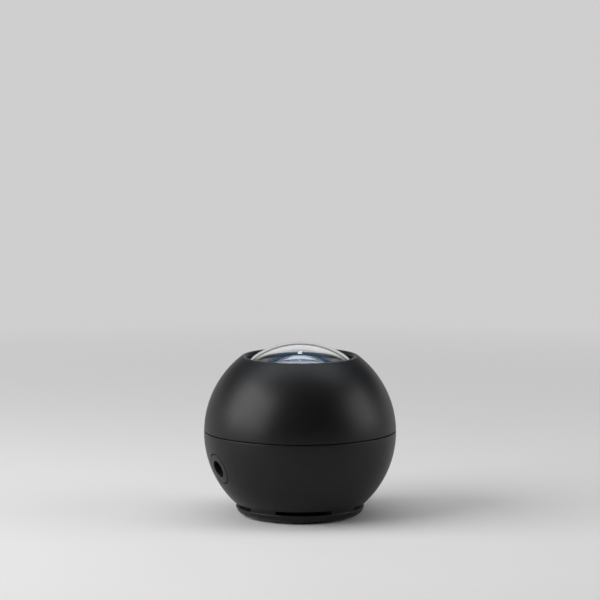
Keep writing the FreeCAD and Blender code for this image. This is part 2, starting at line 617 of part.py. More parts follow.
def make_upper_shell():
    """Upper half of the ball with the rounded opening, the neck that seats the dome and a bearing flange."""
    lip_angle = atan2(LIP_Z - BALL_Z, LIP_AT_R)
    tangent = (BALL_R * cos(lip_angle), BALL_Z + BALL_R * sin(lip_angle))
    lip_middle = (lip_angle + pi) / 2
    clip_r = OPENING_R + DOME_CLIP_SET
    chamfer_z = UPPER_BOTTOM_Z + SEAM_CHAMFER
    shell = turned(
        (on_circle(BALL_R, BALL_Z, UPPER_BOTTOM_Z) - SEAM_CHAMFER, UPPER_BOTTOM_Z),
        (on_circle(BALL_R, BALL_Z, chamfer_z), chamfer_z),
        arc_on(BALL_R, BALL_Z, chamfer_z, tangent[1]),
        ((LIP_AT_R + LIP_R * cos(lip_middle), LIP_Z + LIP_R * sin(lip_middle)), (OPENING_R, LIP_Z)),
        (OPENING_R, DOME_CLIP_Z + DOME_CLIP_H + SLIP),
        (clip_r, DOME_CLIP_Z + DOME_CLIP_H + SLIP),
        (clip_r, DOME_CLIP_Z - SLIP),
        (OPENING_R, DOME_CLIP_Z - SLIP),
        (OPENING_R, DOME_SEAT_Z),
        (DOME_SEAT_R, DOME_SEAT_Z),
        (DOME_SEAT_R, NECK_BOTTOM_Z),
        (NECK_R, NECK_BOTTOM_Z),
        (NECK_R, BALL_Z + sqrt(INNER_R ** 2 - NECK_R ** 2)),
        arc_on(INNER_R, BALL_Z, BALL_Z + sqrt(INNER_R ** 2 - NECK_R ** 2), FLANGE_TOP_Z),
        (TURRET_FLANGE_R, FLANGE_TOP_Z),
        (TURRET_FLANGE_R, FLANGE_Z),
        (on_circle(INNER_R, BALL_Z, FLANGE_Z), FLANGE_Z),
        arc_on(INNER_R, BALL_Z, FLANGE_Z, UPPER_BOTTOM_Z))
    middle_wall = ball(BALL_R - SHELL_WALL / 2)
    bosses = []
    for at in cam_screw_places():
        bosses.append(rod(PILLAR_R, NECK_BOTTOM_Z, BALL_Z + BALL_R, at).common(middle_wall))
    shell = shell.fuse(bosses)
    for at in cam_screw_places():
        shell = shell.cut(pilot(at, NECK_BOTTOM_Z, SCREW_BITE + AIR))
    return shell


def keeper_screw_place(direction):
    return polar(KEEPER_POST_R + KEEPER_T + SCREW_HEAD_R + AIR, direction)


def make_turret_keepers():
    """Z-shaped keepers on the lower shell, whose hooks hold the upper shell's flange down."""
    hook_z = FLANGE_TOP_Z + AIR
    post_r = KEEPER_POST_R + KEEPER_T
    hook_r = TURRET_FLANGE_R + 2 * KEEPER_T
    foot_r = post_r + 2 * (SCREW_HEAD_R + AIR)
    keepers = []
    for direction in ring_of(KEEPER_COUNT, KEEPER_FIRST):
        half = KEEPER_W / 2
        keeper = box(KEEPER_POST_R, foot_r, -half, half, KEEPER_FOOT_Z, KEEPER_FOOT_Z + KEEPER_T)
        keeper = keeper.fuse(box(KEEPER_POST_R, post_r, -half, half, KEEPER_FOOT_Z, hook_z + KEEPER_T))
        keeper = keeper.fuse(box(KEEPER_POST_R, hook_r, -half, half, hook_z, hook_z + KEEPER_T))
        keeper.rotate(V(0, 0, 0), V(0, 0, 1), direction)
        hole = rod(SCREW_R + SCREW_PLAY, KEEPER_FOOT_Z, KEEPER_FOOT_Z + KEEPER_T, keeper_screw_place(direction))
        keeper = keeper.cut(hole)
        keepers.append(keeper.common(rod(SPIGOT_R - SPIGOT_WALL - SLIP, CHASSIS_Z, BALL_Z + BALL_R)))
    return group(keepers)


def make_keeper_screws():
    z = KEEPER_FOOT_Z + KEEPER_T
    return group([screw(keeper_screw_place(direction), z, KEEPER_T + SCREW_BITE, up=False)
                  for direction in ring_of(KEEPER_COUNT, KEEPER_FIRST)])


def make_glide_ring():
    return tube(SPIGOT_R, SPIGOT_R - SPIGOT_WALL, SPIGOT_TOP_Z, GLIDE_TOP_Z)

# ---------------------------------------------------------------- dome and bezel

def make_dome_gasket():
    return tube(DOME_R, DOME_SEAT_R + SLIP, DOME_SEAT_Z, DOME_FOOT_Z)


def make_dome_lens():
    """Thin dome with a straight skirt, which has a groove for the spring ring."""
    inner_r = DOME_CURVE_R - DOME_GLASS
    bore_r = DOME_R - DOME_GLASS
    bore_z = DOME_CENTRE_Z + sqrt(inner_r ** 2 - bore_r ** 2)
    groove_r = DOME_R - DOME_CLIP_BITE
    return turned(
        (bore_r, DOME_FOOT_Z),
        (DOME_R, DOME_FOOT_Z),
        (DOME_R, DOME_CLIP_Z - SLIP),
        (groove_r, DOME_CLIP_Z - SLIP),
        (groove_r, DOME_CLIP_Z + DOME_CLIP_H + SLIP),
        (DOME_R, DOME_CLIP_Z + DOME_CLIP_H + SLIP),
        (DOME_R, DOME_EDGE_Z),
        arc_on(DOME_CURVE_R, DOME_CENTRE_Z, DOME_EDGE_Z, DOME_TOP_Z),
        (0, DOME_CENTRE_Z + inner_r),
        arc_on(inner_r, DOME_CENTRE_Z, DOME_CENTRE_Z + inner_r, bore_z))


def make_dome_spring_ring():
    """Split ring that snaps into the grooves of the dome's skirt and of the neck."""
    inner_r = DOME_R - DOME_CLIP_BITE + SLIP
    outer_r = OPENING_R + DOME_CLIP_SET - SLIP
    return turned(
        (inner_r, DOME_CLIP_Z),
        (outer_r, DOME_CLIP_Z),
        (outer_r, DOME_CLIP_Z + DOME_CLIP_H),
        (inner_r, DOME_CLIP_Z + DOME_CLIP_H),
        angle=350.0, first=95.0)


def make_lens_bezel():
    """Black dished ring between the neck and the lens nose, standing on the cam tube's flange."""
    body_r = DOME_SEAT_R - SLIP
    shoulder_z = DOME_SEAT_Z
    inside_r = body_r - BEZEL_WALL
    under_z = BEZEL_TOP_Z - BEZEL_DISH - BEZEL_WALL
    return turned(
        (inside_r, CAM_TOP_Z),
        (body_r, CAM_TOP_Z),
        (body_r, shoulder_z),
        (BEZEL_EDGE_R, BEZEL_TOP_Z),
        (BEZEL_EDGE_R - BEZEL_WALL / 2, BEZEL_TOP_Z),
        (BEZEL_BORE_R, BEZEL_TOP_Z - BEZEL_DISH),
        (BEZEL_BORE_R, under_z),
        (BEZEL_EDGE_R - BEZEL_WALL, under_z),
        (inside_r, shoulder_z - BEZEL_WALL))


# ---------------------------------------------------------------- lens unit

def make_lens_barrel():
    """Stepped barrel: nose, guided part, seats for three lenses and the aperture stop."""
    seat_r = LENS_R + SLIP
    rear_r = REAR_LENS_R + SLIP
    barrel = turned(
        (seat_r, NOSE_TOP_Z),
        (seat_r, STOP_TOP_Z),
        (STOP_R, STOP_TOP_Z),
        (STOP_R, STOP_BOTTOM_Z),
        (rear_r, STOP_BOTTOM_Z),
        (rear_r, BARREL_Z),
        (BARREL_R, BARREL_Z),
        (BARREL_R, BARREL_SHOULDER_Z),
        (NOSE_R, BARREL_SHOULDER_Z),
        (NOSE_R, NOSE_TOP_Z))
    for direction in ring_of(CAM_PIN_COUNT, CAM_PIN_FIRST):
        barrel = barrel.cut(radial_rod(CAM_PIN_R, BARREL_R - CAM_PIN_SEAT, BARREL_R + CAM_GAP, direction))
    return barrel


def radial_rod(radius, inner, outer, direction, z=None):
    """Level rod pointing away from the axis."""
    start = polar(inner, direction, CAM_PIN_Z if z is None else z)
    return Part.makeCylinder(radius, outer - inner, start, polar(1.0, direction))


def make_cam_pins():
    reach = CAM_R - 2 * SLIP
    return group([radial_rod(CAM_PIN_R, BARREL_R - CAM_PIN_SEAT, reach, direction)
                  for direction in ring_of(CAM_PIN_COUNT, CAM_PIN_FIRST)])


def make_front_lens():
    """Strong plano-convex front element."""
    return turned(
        (0, LENS_BACK_Z),
        (LENS_R, LENS_BACK_Z),
        (LENS_R, LENS_EDGE_Z),
        arc_on(LENS_CURVE_R, LENS_CENTRE_Z, LENS_EDGE_Z, LENS_TOP_Z))


def make_front_lens_ring():
    """Ring that screws into the nose and holds the front lens by its edge."""
    ring = tube(LENS_R, LENS_R - RING_WALL / 2, LENS_EDGE_Z - AIR, NOSE_TOP_Z)
    return ring.cut(ball(LENS_CURVE_R + SLIP / 2, LENS_CENTRE_Z))


def make_lens_spacer():
    """Ring between the front and the middle lens, bored to follow the middle lens."""
    centre_z = SPACER_Z - MIDDLE_LENS_CURVE_R
    edge_z = centre_z + sqrt(MIDDLE_LENS_CURVE_R ** 2 - LENS_R ** 2)
    return tube(LENS_R, LENS_R - RING_WALL, edge_z, LENS_BACK_Z).cut(ball(MIDDLE_LENS_CURVE_R, centre_z))


def biconvex(radius, curve_r, bottom, top):
    """Lens with two equal curved faces."""
    disc = rod(radius, bottom, top)
    return disc.common(ball(curve_r, top - curve_r)).common(ball(curve_r, bottom + curve_r))


def make_middle_lens():
    """Biconvex element with a flat bearing edge against the spacer and the stop."""
    return biconvex(LENS_R, MIDDLE_LENS_CURVE_R, MIDDLE_LENS_Z, SPACER_Z)


def make_rear_lens():
    return biconvex(REAR_LENS_R, REAR_LENS_CURVE_R, REAR_LENS_Z, REAR_LENS_TOP_Z)


def make_rear_lens_ring():
    """Ring under the rear lens, bored to follow its curve."""
    centre_z = REAR_LENS_Z + REAR_LENS_CURVE_R
    edge_z = centre_z - sqrt(REAR_LENS_CURVE_R ** 2 - REAR_LENS_R ** 2)
    ring = tube(REAR_LENS_R, REAR_LENS_R - 2 * RING_WALL, edge_z - REAR_LENS_RING_H, edge_z)
    return ring.cut(ball(REAR_LENS_CURVE_R + SLIP / 2, centre_z))


# ---------------------------------------------------------------- guide and cam

def guide_leg_places():
    return [polar(GUIDE_LEG_AT_R, direction) for direction in ring_of(3, GUIDE_LEG_FIRST)]


def make_lens_guide():
    """Fixed tube with straight slots, on a flange and three legs that bridge the rotor."""
    top_z = BARREL_SHOULDER_Z - FOCUS_TRAVEL / 2 - AIR
    guide = rod(GUIDE_R, GUIDE_FLANGE_Z, top_z)
    guide = guide.fuse(rod(GUIDE_LEG_AT_R + GUIDE_LEG_R + AIR, GUIDE_FLANGE_Z, GUIDE_FLANGE_Z + GUIDE_FLANGE_H))
    for at in guide_leg_places():
        guide = guide.fuse(rod(GUIDE_LEG_R, CHASSIS_TOP_Z, GUIDE_FLANGE_Z + GUIDE_FLANGE_H, at))
    guide = guide.cut(rod(GUIDE_BORE_R, GUIDE_FLANGE_Z, top_z))
    for at in guide_leg_places():
        guide = guide.cut(pilot(at, CHASSIS_TOP_Z, SCREW_BITE + AIR))
    for direction in ring_of(CAM_PIN_COUNT, CAM_PIN_FIRST):
        guide = guide.cut(straight_slot(direction))
    return guide


def straight_slot(direction):
    """Upright slot with round ends, through the guide's wall."""
    half_w = CAM_PIN_R + RUN
    half_h = FOCUS_TRAVEL / 2 + AIR
    x = BARREL_R - CAM_GAP
    low = CAM_PIN_Z - half_h
    high = CAM_PIN_Z + half_h
    edges = [
        Part.Arc(V(x, -half_w, low), V(x, 0, low - half_w), V(x, half_w, low)).toShape(),
        Part.LineSegment(V(x, half_w, low), V(x, half_w, high)).toShape(),
        Part.Arc(V(x, half_w, high), V(x, 0, high + half_w), V(x, -half_w, high)).toShape(),
        Part.LineSegment(V(x, -half_w, high), V(x, -half_w, low)).toShape(),
    ]
    slot = Part.Face(Part.Wire(edges)).extrude(V(CAM_BORE_R - x, 0, 0))
    slot.rotate(V(0, 0, 0), V(0, 0, 1), direction)
    return slot


def cam_slot(direction):
    """Helical slot that a cam pin runs in, centred on the pin."""
    turn = FOCUS_TURN + 2 * SLOT_SPARE
    rise = CAM_LEAD * turn / 360.0
    half_w = CAM_PIN_R + RUN
    middle_r = (CAM_BORE_R + CAM_R) / 2
    depth = CAM_WALL / 2 + CAM_GAP / 2
    helix = Part.makeHelix(CAM_LEAD, rise, middle_r)
    section = Part.makePolygon([V(middle_r - depth, 0, -half_w), V(middle_r + depth, 0, -half_w),
                                V(middle_r + depth, 0, half_w), V(middle_r - depth, 0, half_w),
                                V(middle_r - depth, 0, -half_w)])
    slot = Part.Wire(helix.Edges).makePipeShell([section], True, True)
    slot.rotate(V(0, 0, 0), V(0, 0, 1), direction - turn / 2)
    slot.translate(V(0, 0, CAM_PIN_Z - rise / 2))
    return slot


def make_cam_tube():
    """Tube hung from the upper shell by a flange, with one helical slot for each pin."""
    flange_z = CAM_TOP_Z - CAM_FLANGE_H
    cam = rod(CAM_R, CAM_BOTTOM_Z, CAM_TOP_Z).fuse(rod(NECK_R, flange_z, CAM_TOP_Z))
    for at in cam_screw_places():
        cam = cam.fuse(rod(PILLAR_R, flange_z, CAM_TOP_Z, at))
        cam = cam.cut(rod(SCREW_R + SCREW_PLAY, flange_z, CAM_TOP_Z, at))
    cam = cam.cut(rod(CAM_BORE_R, CAM_BOTTOM_Z, CAM_TOP_Z))
    for direction in ring_of(CAM_PIN_COUNT, CAM_PIN_FIRST):
        cam = cam.cut(cam_slot(direction))
    return cam


def make_cam_screws():
    z = CAM_TOP_Z - CAM_FLANGE_H
    return group([screw(at, z, CAM_FLANGE_H + SCREW_BITE) for at in cam_screw_places()])


# ---------------------------------------------------------------- star disc and gear train

ROTOR_LEDGE_Z = DISC_Z - SLIP
CLIP_H = 0.8
HUB_TOP_Z = ROTOR_LEDGE_Z - AIR
HUB_CLIP_Z = HUB_TOP_Z - 2 * SLIP - CLIP_H
ROTOR_BORE_R = HUB_R + RUN
ROTOR_CUP_R = HUB_R + ROTOR_WALL


def make_rotor_gear():
    """Toothed ring that turns on the hub and carries the star disc."""
    top_z = DISC_Z + DISC_H + CLIP_H + 2 * SLIP
    rotor = gear(ROTOR_TEETH, GEAR_Z, GEAR_TOP_Z)
    rotor = rotor.fuse(rod(DISC_R + ROTOR_WALL, GEAR_Z, top_z))
    rotor = rotor.fuse(tube(ROTOR_CUP_R + ROTOR_WALL, HUB_R, CHASSIS_TOP_Z + RUN, GEAR_Z + AIR))
    rotor = rotor.cut(rod(ROTOR_BORE_R, CHASSIS_TOP_Z, HUB_CLIP_Z))
    rotor = rotor.cut(rod(ROTOR_CUP_R, HUB_CLIP_Z - RUN, top_z))
    return rotor.cut(rod(DISC_R + SLIP, DISC_Z, top_z))


def make_star_disc():
    """Thin film disc whose stars are printed on it."""
    return rod(DISC_R, DISC_Z, DISC_Z + DISC_H)


def make_disc_clip():
    """Split ring that holds the disc in the rotor."""
    return turned(
        (DISC_R - ROTOR_WALL, DISC_Z + DISC_H), (DISC_R, DISC_Z + DISC_H),
        (DISC_R, DISC_Z + DISC_H + CLIP_H), (DISC_R - ROTOR_WALL, DISC_Z + DISC_H + CLIP_H),
        angle=340.0, first=10.0)


def make_rotor_clip():
    """Snap ring in the hub's groove that keeps the rotor on the hub."""
    return turned(
        (HUB_R - ROTOR_WALL / 2 + SLIP, HUB_CLIP_Z), (ROTOR_CUP_R - AIR, HUB_CLIP_Z),
        (ROTOR_CUP_R - AIR, HUB_CLIP_Z + CLIP_H), (HUB_R - ROTOR_WALL / 2 + SLIP, HUB_CLIP_Z + CLIP_H),
        angle=330.0, first=15.0)


def idler_place():
    return polar(IDLER_AT_R, IDLER_AT)


def motor_place():
    return polar(MOTOR_AT_R, MOTOR_AT)


def idler_phase():
    return meshing(0.0, ROTOR_TEETH, IDLER_AT, IDLER_TEETH)


def make_idler_gear():
    place = idler_place()
    idler = gear(IDLER_TEETH, GEAR_Z - AIR, GEAR_TOP_Z + AIR, idler_phase())
    idler = idler.cut(rod(IDLER_PIN_R + RUN, CHASSIS_Z, GEAR_TOP_Z + 1))
    idler.translate(place)
    return idler


def make_idler_pin():
    """Headed pin pressed into the chassis."""
    place = idler_place()
    pin = rod(IDLER_PIN_R, CHASSIS_Z, GEAR_TOP_Z + 2 * AIR, place)
    return pin.fuse(rod(IDLER_PIN_R + 1.0, GEAR_TOP_Z + 2 * AIR, GEAR_TOP_Z + 5 * AIR, place))


def make_motor_pinion():
    place = motor_place()
    reach = place - idler_place()
    direction = degrees(atan2(reach.y, reach.x))
    pinion = gear(PINION_TEETH, GEAR_Z - AIR, GEAR_TOP_Z + AIR,
                  meshing(idler_phase(), IDLER_TEETH, direction, PINION_TEETH))
    pinion = pinion.cut(rod(MOTOR_SHAFT_R, CHASSIS_Z, GEAR_TOP_Z + 1))
    pinion.translate(place)
    return pinion


def make_motor_shaft():
    return rod(MOTOR_SHAFT_R, CHASSIS_Z - MOTOR_H / 3, GEAR_TOP_Z + 2 * AIR, motor_place())


def motor_screw_places():
    side = polar(MOTOR_EAR_AT, MOTOR_AT + 90.0)
    return [motor_place() + side, motor_place() - side]


def make_drive_motor():
    """Gear motor can with a collar, two ears and a bore for its shaft."""
    place = motor_place()
    ear = box(-PILLAR_R, PILLAR_R, -MOTOR_EAR_AT, MOTOR_EAR_AT, CHASSIS_Z - MOTOR_EAR_T, CHASSIS_Z)
    ear.rotate(V(0, 0, 0), V(0, 0, 1), MOTOR_AT)
    ear.translate(place)
    motor = rod(MOTOR_R, CHASSIS_Z - MOTOR_H, CHASSIS_Z, place).fuse(ear)
    for at in motor_screw_places():
        motor = motor.fuse(rod(PILLAR_R, CHASSIS_Z - MOTOR_EAR_T, CHASSIS_Z, at))
        motor = motor.cut(rod(SCREW_R + SCREW_PLAY, CHASSIS_Z - MOTOR_EAR_T, CHASSIS_Z, at))
    motor = motor.fuse(rod(MOTOR_SHAFT_R * 2, CHASSIS_Z - AIR, CHASSIS_TOP_Z - AIR, place))
    return motor.cut(rod(MOTOR_SHAFT_R + RUN, CHASSIS_Z - MOTOR_H / 3 - AIR, CHASSIS_TOP_Z, place))


def make_motor_screws():
    length = CHASSIS_H + MOTOR_EAR_T - AIR
    return group([screw(at, CHASSIS_Z - MOTOR_EAR_T, length) for at in motor_screw_places()])


# ---------------------------------------------------------------- chassis and lamp

def pillar_places():
    return [polar(PILLAR_AT_R, direction) for direction in ring_of(PILLAR_COUNT, PILLAR_FIRST)]


def lamp_screw_places():
    return [polar(LAMP_R + SCREW_HEAD_R + 2 * AIR, direction) for direction in ring_of(3, 90.0)]


def board_screw_places():
    x_far = BOARD_X + BOARD_W - BOARD_SCREW_INSET
    x_near = BOARD_X + BOARD_SCREW_INSET
    y = BOARD_L / 2 - BOARD_SCREW_INSET
    return [V(x_near, -y, 0), V(x_near, y, 0), V(x_far, -y, 0), V(x_far, y, 0)]


def make_chassis():
    """Plate on the lower shell's pillars, with the rotor's hub above and the board's posts below."""
    chassis = rod(CHASSIS_R, CHASSIS_Z, CHASSIS_TOP_Z)
    chassis = chassis.fuse(rod(HUB_R, CHASSIS_TOP_Z - AIR, HUB_TOP_Z))
    for at in board_screw_places():
        chassis = chassis.fuse(rod(SWITCH_POST_R, BOARD_TOP_Z, CHASSIS_Z + AIR, at))
        chassis = chassis.cut(pilot(at, BOARD_TOP_Z, SCREW_BITE + AIR))
    chassis = chassis.fuse(rod(IDLER_PIN_R * 2, CHASSIS_TOP_Z - AIR, GEAR_Z - 2 * AIR, idler_place()))
    chassis = chassis.cut(rod(HUB_R - HUB_WALL, CHASSIS_Z, HUB_TOP_Z))
    groove = tube(HUB_R + 1, HUB_R - ROTOR_WALL / 2, HUB_CLIP_Z - RUN, HUB_CLIP_Z + CLIP_H + RUN)
    chassis = chassis.cut(groove)
    for at in pillar_places() + guide_leg_places():
        chassis = chassis.cut(rod(SCREW_R + SCREW_PLAY, CHASSIS_Z, CHASSIS_TOP_Z, at))
    for at in motor_screw_places():
        chassis = chassis.cut(pilot(at, CHASSIS_Z, CHASSIS_H))
    for at in lamp_screw_places():
        chassis = chassis.cut(pilot(at, CHASSIS_Z, CHASSIS_H))
    chassis = chassis.cut(rod(MOTOR_SHAFT_R * 2 + SLIP, CHASSIS_Z, CHASSIS_TOP_Z, motor_place()))
    chassis = chassis.cut(rod(IDLER_PIN_R, CHASSIS_Z, GEAR_Z, idler_place()))
    notch_half = JACK_BODY_W / 2 + JACK_NOTCH_GAP
    notch = box(JACK_BACK - JACK_BODY_W / 2, BALL_R, -notch_half, notch_half,
                CHASSIS_Z, CHASSIS_TOP_Z)
    notch.rotate(V(0, 0, 0), V(0, 0, 1), INLET_AT)
    return chassis.cut(notch)


def make_chassis_screws():
    length = CHASSIS_H + 2 * SCREW_BITE - AIR
    return group([screw(at, CHASSIS_TOP_Z, length, up=False) for at in pillar_places()])


def heat_sink_ear_places():
    return [V(0, -LAMP_EAR_AT, 0), V(0, LAMP_EAR_AT, 0)]


def make_lamp_housing():
    """Tube under the chassis that holds the condenser; ears at its foot carry the heat sink."""
    housing = rod(LAMP_R, LAMP_Z, CHASSIS_Z).fuse(rod(LAMP_FLANGE_R, CHASSIS_Z - LAMP_FLANGE_H, CHASSIS_Z))
    for at in heat_sink_ear_places():
        housing = housing.fuse(rod(LAMP_EAR_R, LAMP_Z, LAMP_Z + SCREW_BITE + 2 * AIR, at))
    housing = housing.cut(rod(LAMP_R - 2 * LAMP_WALL, LAMP_Z, CHASSIS_Z))
    housing = housing.cut(rod(CONDENSER_R + SLIP, CONDENSER_Z, CHASSIS_Z))
    for at in heat_sink_ear_places():
        housing = housing.cut(pilot(at, LAMP_Z, SCREW_BITE + AIR))
    for at in lamp_screw_places():
        housing = housing.cut(rod(SCREW_R + SCREW_PLAY, CHASSIS_Z - LAMP_FLANGE_H, CHASSIS_Z, at))
    wire_hole_z = LAMP_Z + LED_BOARD_H + WIRE_R + AIR
    return housing.cut(radial_rod(3 * WIRE_R, LED_BOARD_R, LAMP_R + 1, -45.0, wire_hole_z))


def make_underside_screws():
    """Screws below the chassis: three up into the lens guide's legs, three that hold the lamp housing."""
    guide_screws = [screw(at, CHASSIS_Z, CHASSIS_H + SCREW_BITE) for at in guide_leg_places()]
    z = CHASSIS_Z - LAMP_FLANGE_H
    lamp_screws = [screw(at, z, LAMP_FLANGE_H + CHASSIS_H - AIR) for at in lamp_screw_places()]
    return group(guide_screws + lamp_screws)


def make_condenser_lens():
    """Plano-convex condenser, flat side towards the lamp."""
    lens = rod(CONDENSER_R, CONDENSER_Z, CONDENSER_TOP_Z)
    return lens.common(ball(CONDENSER_CURVE_R, CONDENSER_TOP_Z - CONDENSER_CURVE_R))


def make_condenser_ring():
    """Spring ring above the condenser's edge."""
    centre_z = CONDENSER_TOP_Z - CONDENSER_CURVE_R
    edge_z = centre_z + sqrt(CONDENSER_CURVE_R ** 2 - CONDENSER_R ** 2)
    ring = tube(CONDENSER_R, CONDENSER_R - RING_WALL, edge_z - AIR, edge_z + RING_WALL)
    return ring.cut(ball(CONDENSER_CURVE_R + SLIP / 2, centre_z))


def make_heat_sink():
    """Round base plate with ears and parallel fins below."""
    base_z = LAMP_Z - HEAT_SINK_BASE_H
    sink = rod(HEAT_SINK_R, base_z - HEAT_SINK_FIN_H, LAMP_Z)
    pitch = 2 * HEAT_SINK_R / HEAT_SINK_FINS
    for index in range(HEAT_SINK_FINS):
        middle = -HEAT_SINK_R + pitch * (index + 1)
        sink = sink.cut(box(middle - pitch + HEAT_SINK_FIN_T, middle, -BALL_R, BALL_R,
                            base_z - HEAT_SINK_FIN_H, base_z))
    for at in heat_sink_ear_places():
        sink = sink.fuse(rod(LAMP_EAR_R, base_z, LAMP_Z, at))
        sink = sink.cut(rod(SCREW_R + SCREW_PLAY, base_z - HEAT_SINK_FIN_H, LAMP_Z, at))
        sink = sink.cut(rod(SCREW_HEAD_R + AIR, base_z - HEAT_SINK_FIN_H, base_z, at))
    return sink


def make_heat_sink_screws():
    return group([screw(at, LAMP_Z - HEAT_SINK_BASE_H, HEAT_SINK_BASE_H + SCREW_BITE)
                  for at in heat_sink_ear_places()])


def make_led_board():
    return rod(LED_BOARD_R, LAMP_Z, LAMP_Z + LED_BOARD_H)


def make_led_emitter():
    """Square lamp package with its small dome."""
    z = LAMP_Z + LED_BOARD_H
    half = LED_SIZE / 2
    chip = box(-half, half, -half, half, z, z + LED_H)
    return chip.fuse(ball(LED_DOME_R, z + LED_H).common(rod(LED_DOME_R, z + LED_H / 2, z + LED_H + LED_DOME_R)))

# ---------------------------------------------------------------- power inlet

def inlet(shape):
    return along(INLET_AT, INLET_TILT, shape)


def inlet_rod(radius, inner, outer):
    return inlet(Part.makeCylinder(radius, outer - inner, V(0, 0, inner)))


def make_inlet_plate():
    """Round plate flush with the ball, with the plug's recess, the nut's seat and a flange inside the shell."""
    plate = inlet_rod(INLET_PLATE_R, INLET_BACK, BALL_R + 1).common(ball(BALL_R))
    flange = inlet_rod(INLET_FLANGE_R, INLET_BACK, BALL_R).common(ball(INNER_R - RUN))
    plate = plate.fuse(flange)
    plate = plate.cut(inlet_rod(INLET_BORE_R, INLET_BOTTOM, BALL_R + 1))
    plate = plate.cut(inlet_rod(JACK_NUT_R + SLIP, INLET_NUT_SEAT, INLET_BOTTOM + 1))
    return plate.cut(inlet_rod(JACK_BARREL_R + RUN, INLET_BACK - 1, INLET_BOTTOM))


def make_power_jack():
    """Socket body behind the plate, with a threaded barrel, the plug's bore and a centre pin."""
    half = JACK_BODY_W / 2
    body = Part.makeBox(JACK_BODY_W, JACK_BODY_W, JACK_BODY_L, V(-half, -half, JACK_BACK))
    body = body.fuse(Part.makeCylinder(JACK_BARREL_R, INLET_BOTTOM - INLET_BACK + 1, V(0, 0, INLET_BACK - 1)))
    hole_bottom = JACK_BACK + INLET_CUP_WALL
    body = body.cut(Part.makeCylinder(JACK_HOLE_R, BALL_R, V(0, 0, hole_bottom)))
    pin = Part.makeCylinder(JACK_PIN_R, INLET_BOTTOM - hole_bottom, V(0, 0, hole_bottom - 1))
    return inlet(body.fuse(pin))


def make_jack_nut():
    nut = inlet_rod(JACK_NUT_R, INLET_NUT_SEAT, INLET_BOTTOM)
    return nut.cut(inlet_rod(JACK_BARREL_R + RUN, INLET_NUT_SEAT, INLET_BOTTOM))


# ---------------------------------------------------------------- push buttons

def at_back(shape):
    return along(90.0, BUTTON_TILT, shape)


def make_button(side):
    """Domed cap with a retaining lip behind the shell."""
    at = V(0, side * BUTTON_SPACING / 2, BUTTON_INNER)
    cap = Part.makeCylinder(BUTTON_R, BUTTON_CAP_L, at)
    cap = cap.common(Part.makeSphere(2 * BUTTON_CAP_L, V(at.x, at.y, BUTTON_FACE - 2 * BUTTON_CAP_L)))
    lip = Part.makeCylinder(BUTTON_R + BUTTON_GAP + BUTTON_LIP - AIR, BUTTON_LIP_H, at)
    return at_back(cap.fuse(lip))


def make_plunger(side):
    """Plunger of one switch, carried back by the switch's spring."""
    bottom = SWITCH_BOARD_TOP + PLUNGER_SEAT
    return at_back(Part.makeCylinder(PLUNGER_R, BUTTON_INNER - bottom, V(0, side * BUTTON_SPACING / 2, bottom)))


def make_switches():
    half = SWITCH_SIZE / 2
    switches = []
    for side in (-1, 1):
        middle = side * BUTTON_SPACING / 2
        body = Part.makeBox(SWITCH_SIZE, SWITCH_SIZE, SWITCH_H, V(-half, middle - half, SWITCH_BOARD_TOP))
        hole_z = SWITCH_BOARD_TOP + PLUNGER_SEAT - BUTTON_TRAVEL - AIR
        body = body.cut(Part.makeCylinder(PLUNGER_R + RUN, SWITCH_H, V(0, middle, hole_z)))
        switches.append(at_back(body))
    return group(switches)


def make_switch_board():
    board = Part.makeBox(SWITCH_BOARD_L, SWITCH_BOARD_W, SWITCH_BOARD_H,
                         V(-SWITCH_BOARD_L / 2, -SWITCH_BOARD_W / 2, SWITCH_BOARD_TOP - SWITCH_BOARD_H))
    for side in (-1, 1):
        at = V(0, side * SWITCH_POST_AT, SWITCH_BOARD_TOP - SWITCH_BOARD_H)
        board = board.cut(Part.makeCylinder(SCREW_R + SCREW_PLAY, SWITCH_BOARD_H, at))
    return at_back(board)


def make_switch_screws():
    z = SWITCH_BOARD_TOP - SWITCH_BOARD_H
    return group([at_back(screw(V(0, side * SWITCH_POST_AT, 0), z, SWITCH_BOARD_H + SCREW_BITE))
                  for side in (-1, 1)])


# ---------------------------------------------------------------- main board

def make_main_board():
    board = box(BOARD_X, BOARD_X + BOARD_W, -BOARD_L / 2, BOARD_L / 2, BOARD_Z, BOARD_TOP_Z)
    for at in board_screw_places():
        board = board.cut(rod(SCREW_R + SCREW_PLAY, BOARD_Z, BOARD_TOP_Z, at))
    return board


def make_board_screws():
    return group([screw(at, BOARD_Z, BOARD_H + SCREW_BITE) for at in board_screw_places()])


def on_board(size_x, size_y, height, y):
    """Block under the middle line of the main board."""
    half_x = size_x / 2
    half_y = size_y / 2
    middle = BOARD_X + BOARD_W / 2
    return box(middle - half_x, middle + half_x, y - half_y, y + half_y, BOARD_Z - height, BOARD_Z)


def make_control_chip():
    return on_board(CHIP_SIZE, CHIP_SIZE, CHIP_H, -BOARD_L / 8)


def make_led_driver_coil():
    middle = BOARD_X + BOARD_W / 2
    return rod(COIL_R, BOARD_Z - COIL_H, BOARD_Z, V(middle, BOARD_L / 8, 0))


def make_filter_capacitor():
    middle = BOARD_X + BOARD_W / 2
    return rod(CAPACITOR_R, BOARD_Z - CAPACITOR_H, BOARD_Z, V(middle, BOARD_L * 0.32, 0))


def make_wire_headers():
    """Wide header for three wires at the board's front end and a narrow one at its rear end."""
    middle = BOARD_X + BOARD_W / 2
    headers = []
    for y, width in ((-HEADER_AT, 2 * HEADER_L), (HEADER_AT, HEADER_L)):
        headers.append(box(middle - width / 2, middle + width / 2, y - HEADER_L / 2, y + HEADER_L / 2,
                           BOARD_TOP_Z, BOARD_TOP_Z + HEADER_H))
    return group(headers)


# ---------------------------------------------------------------- wires

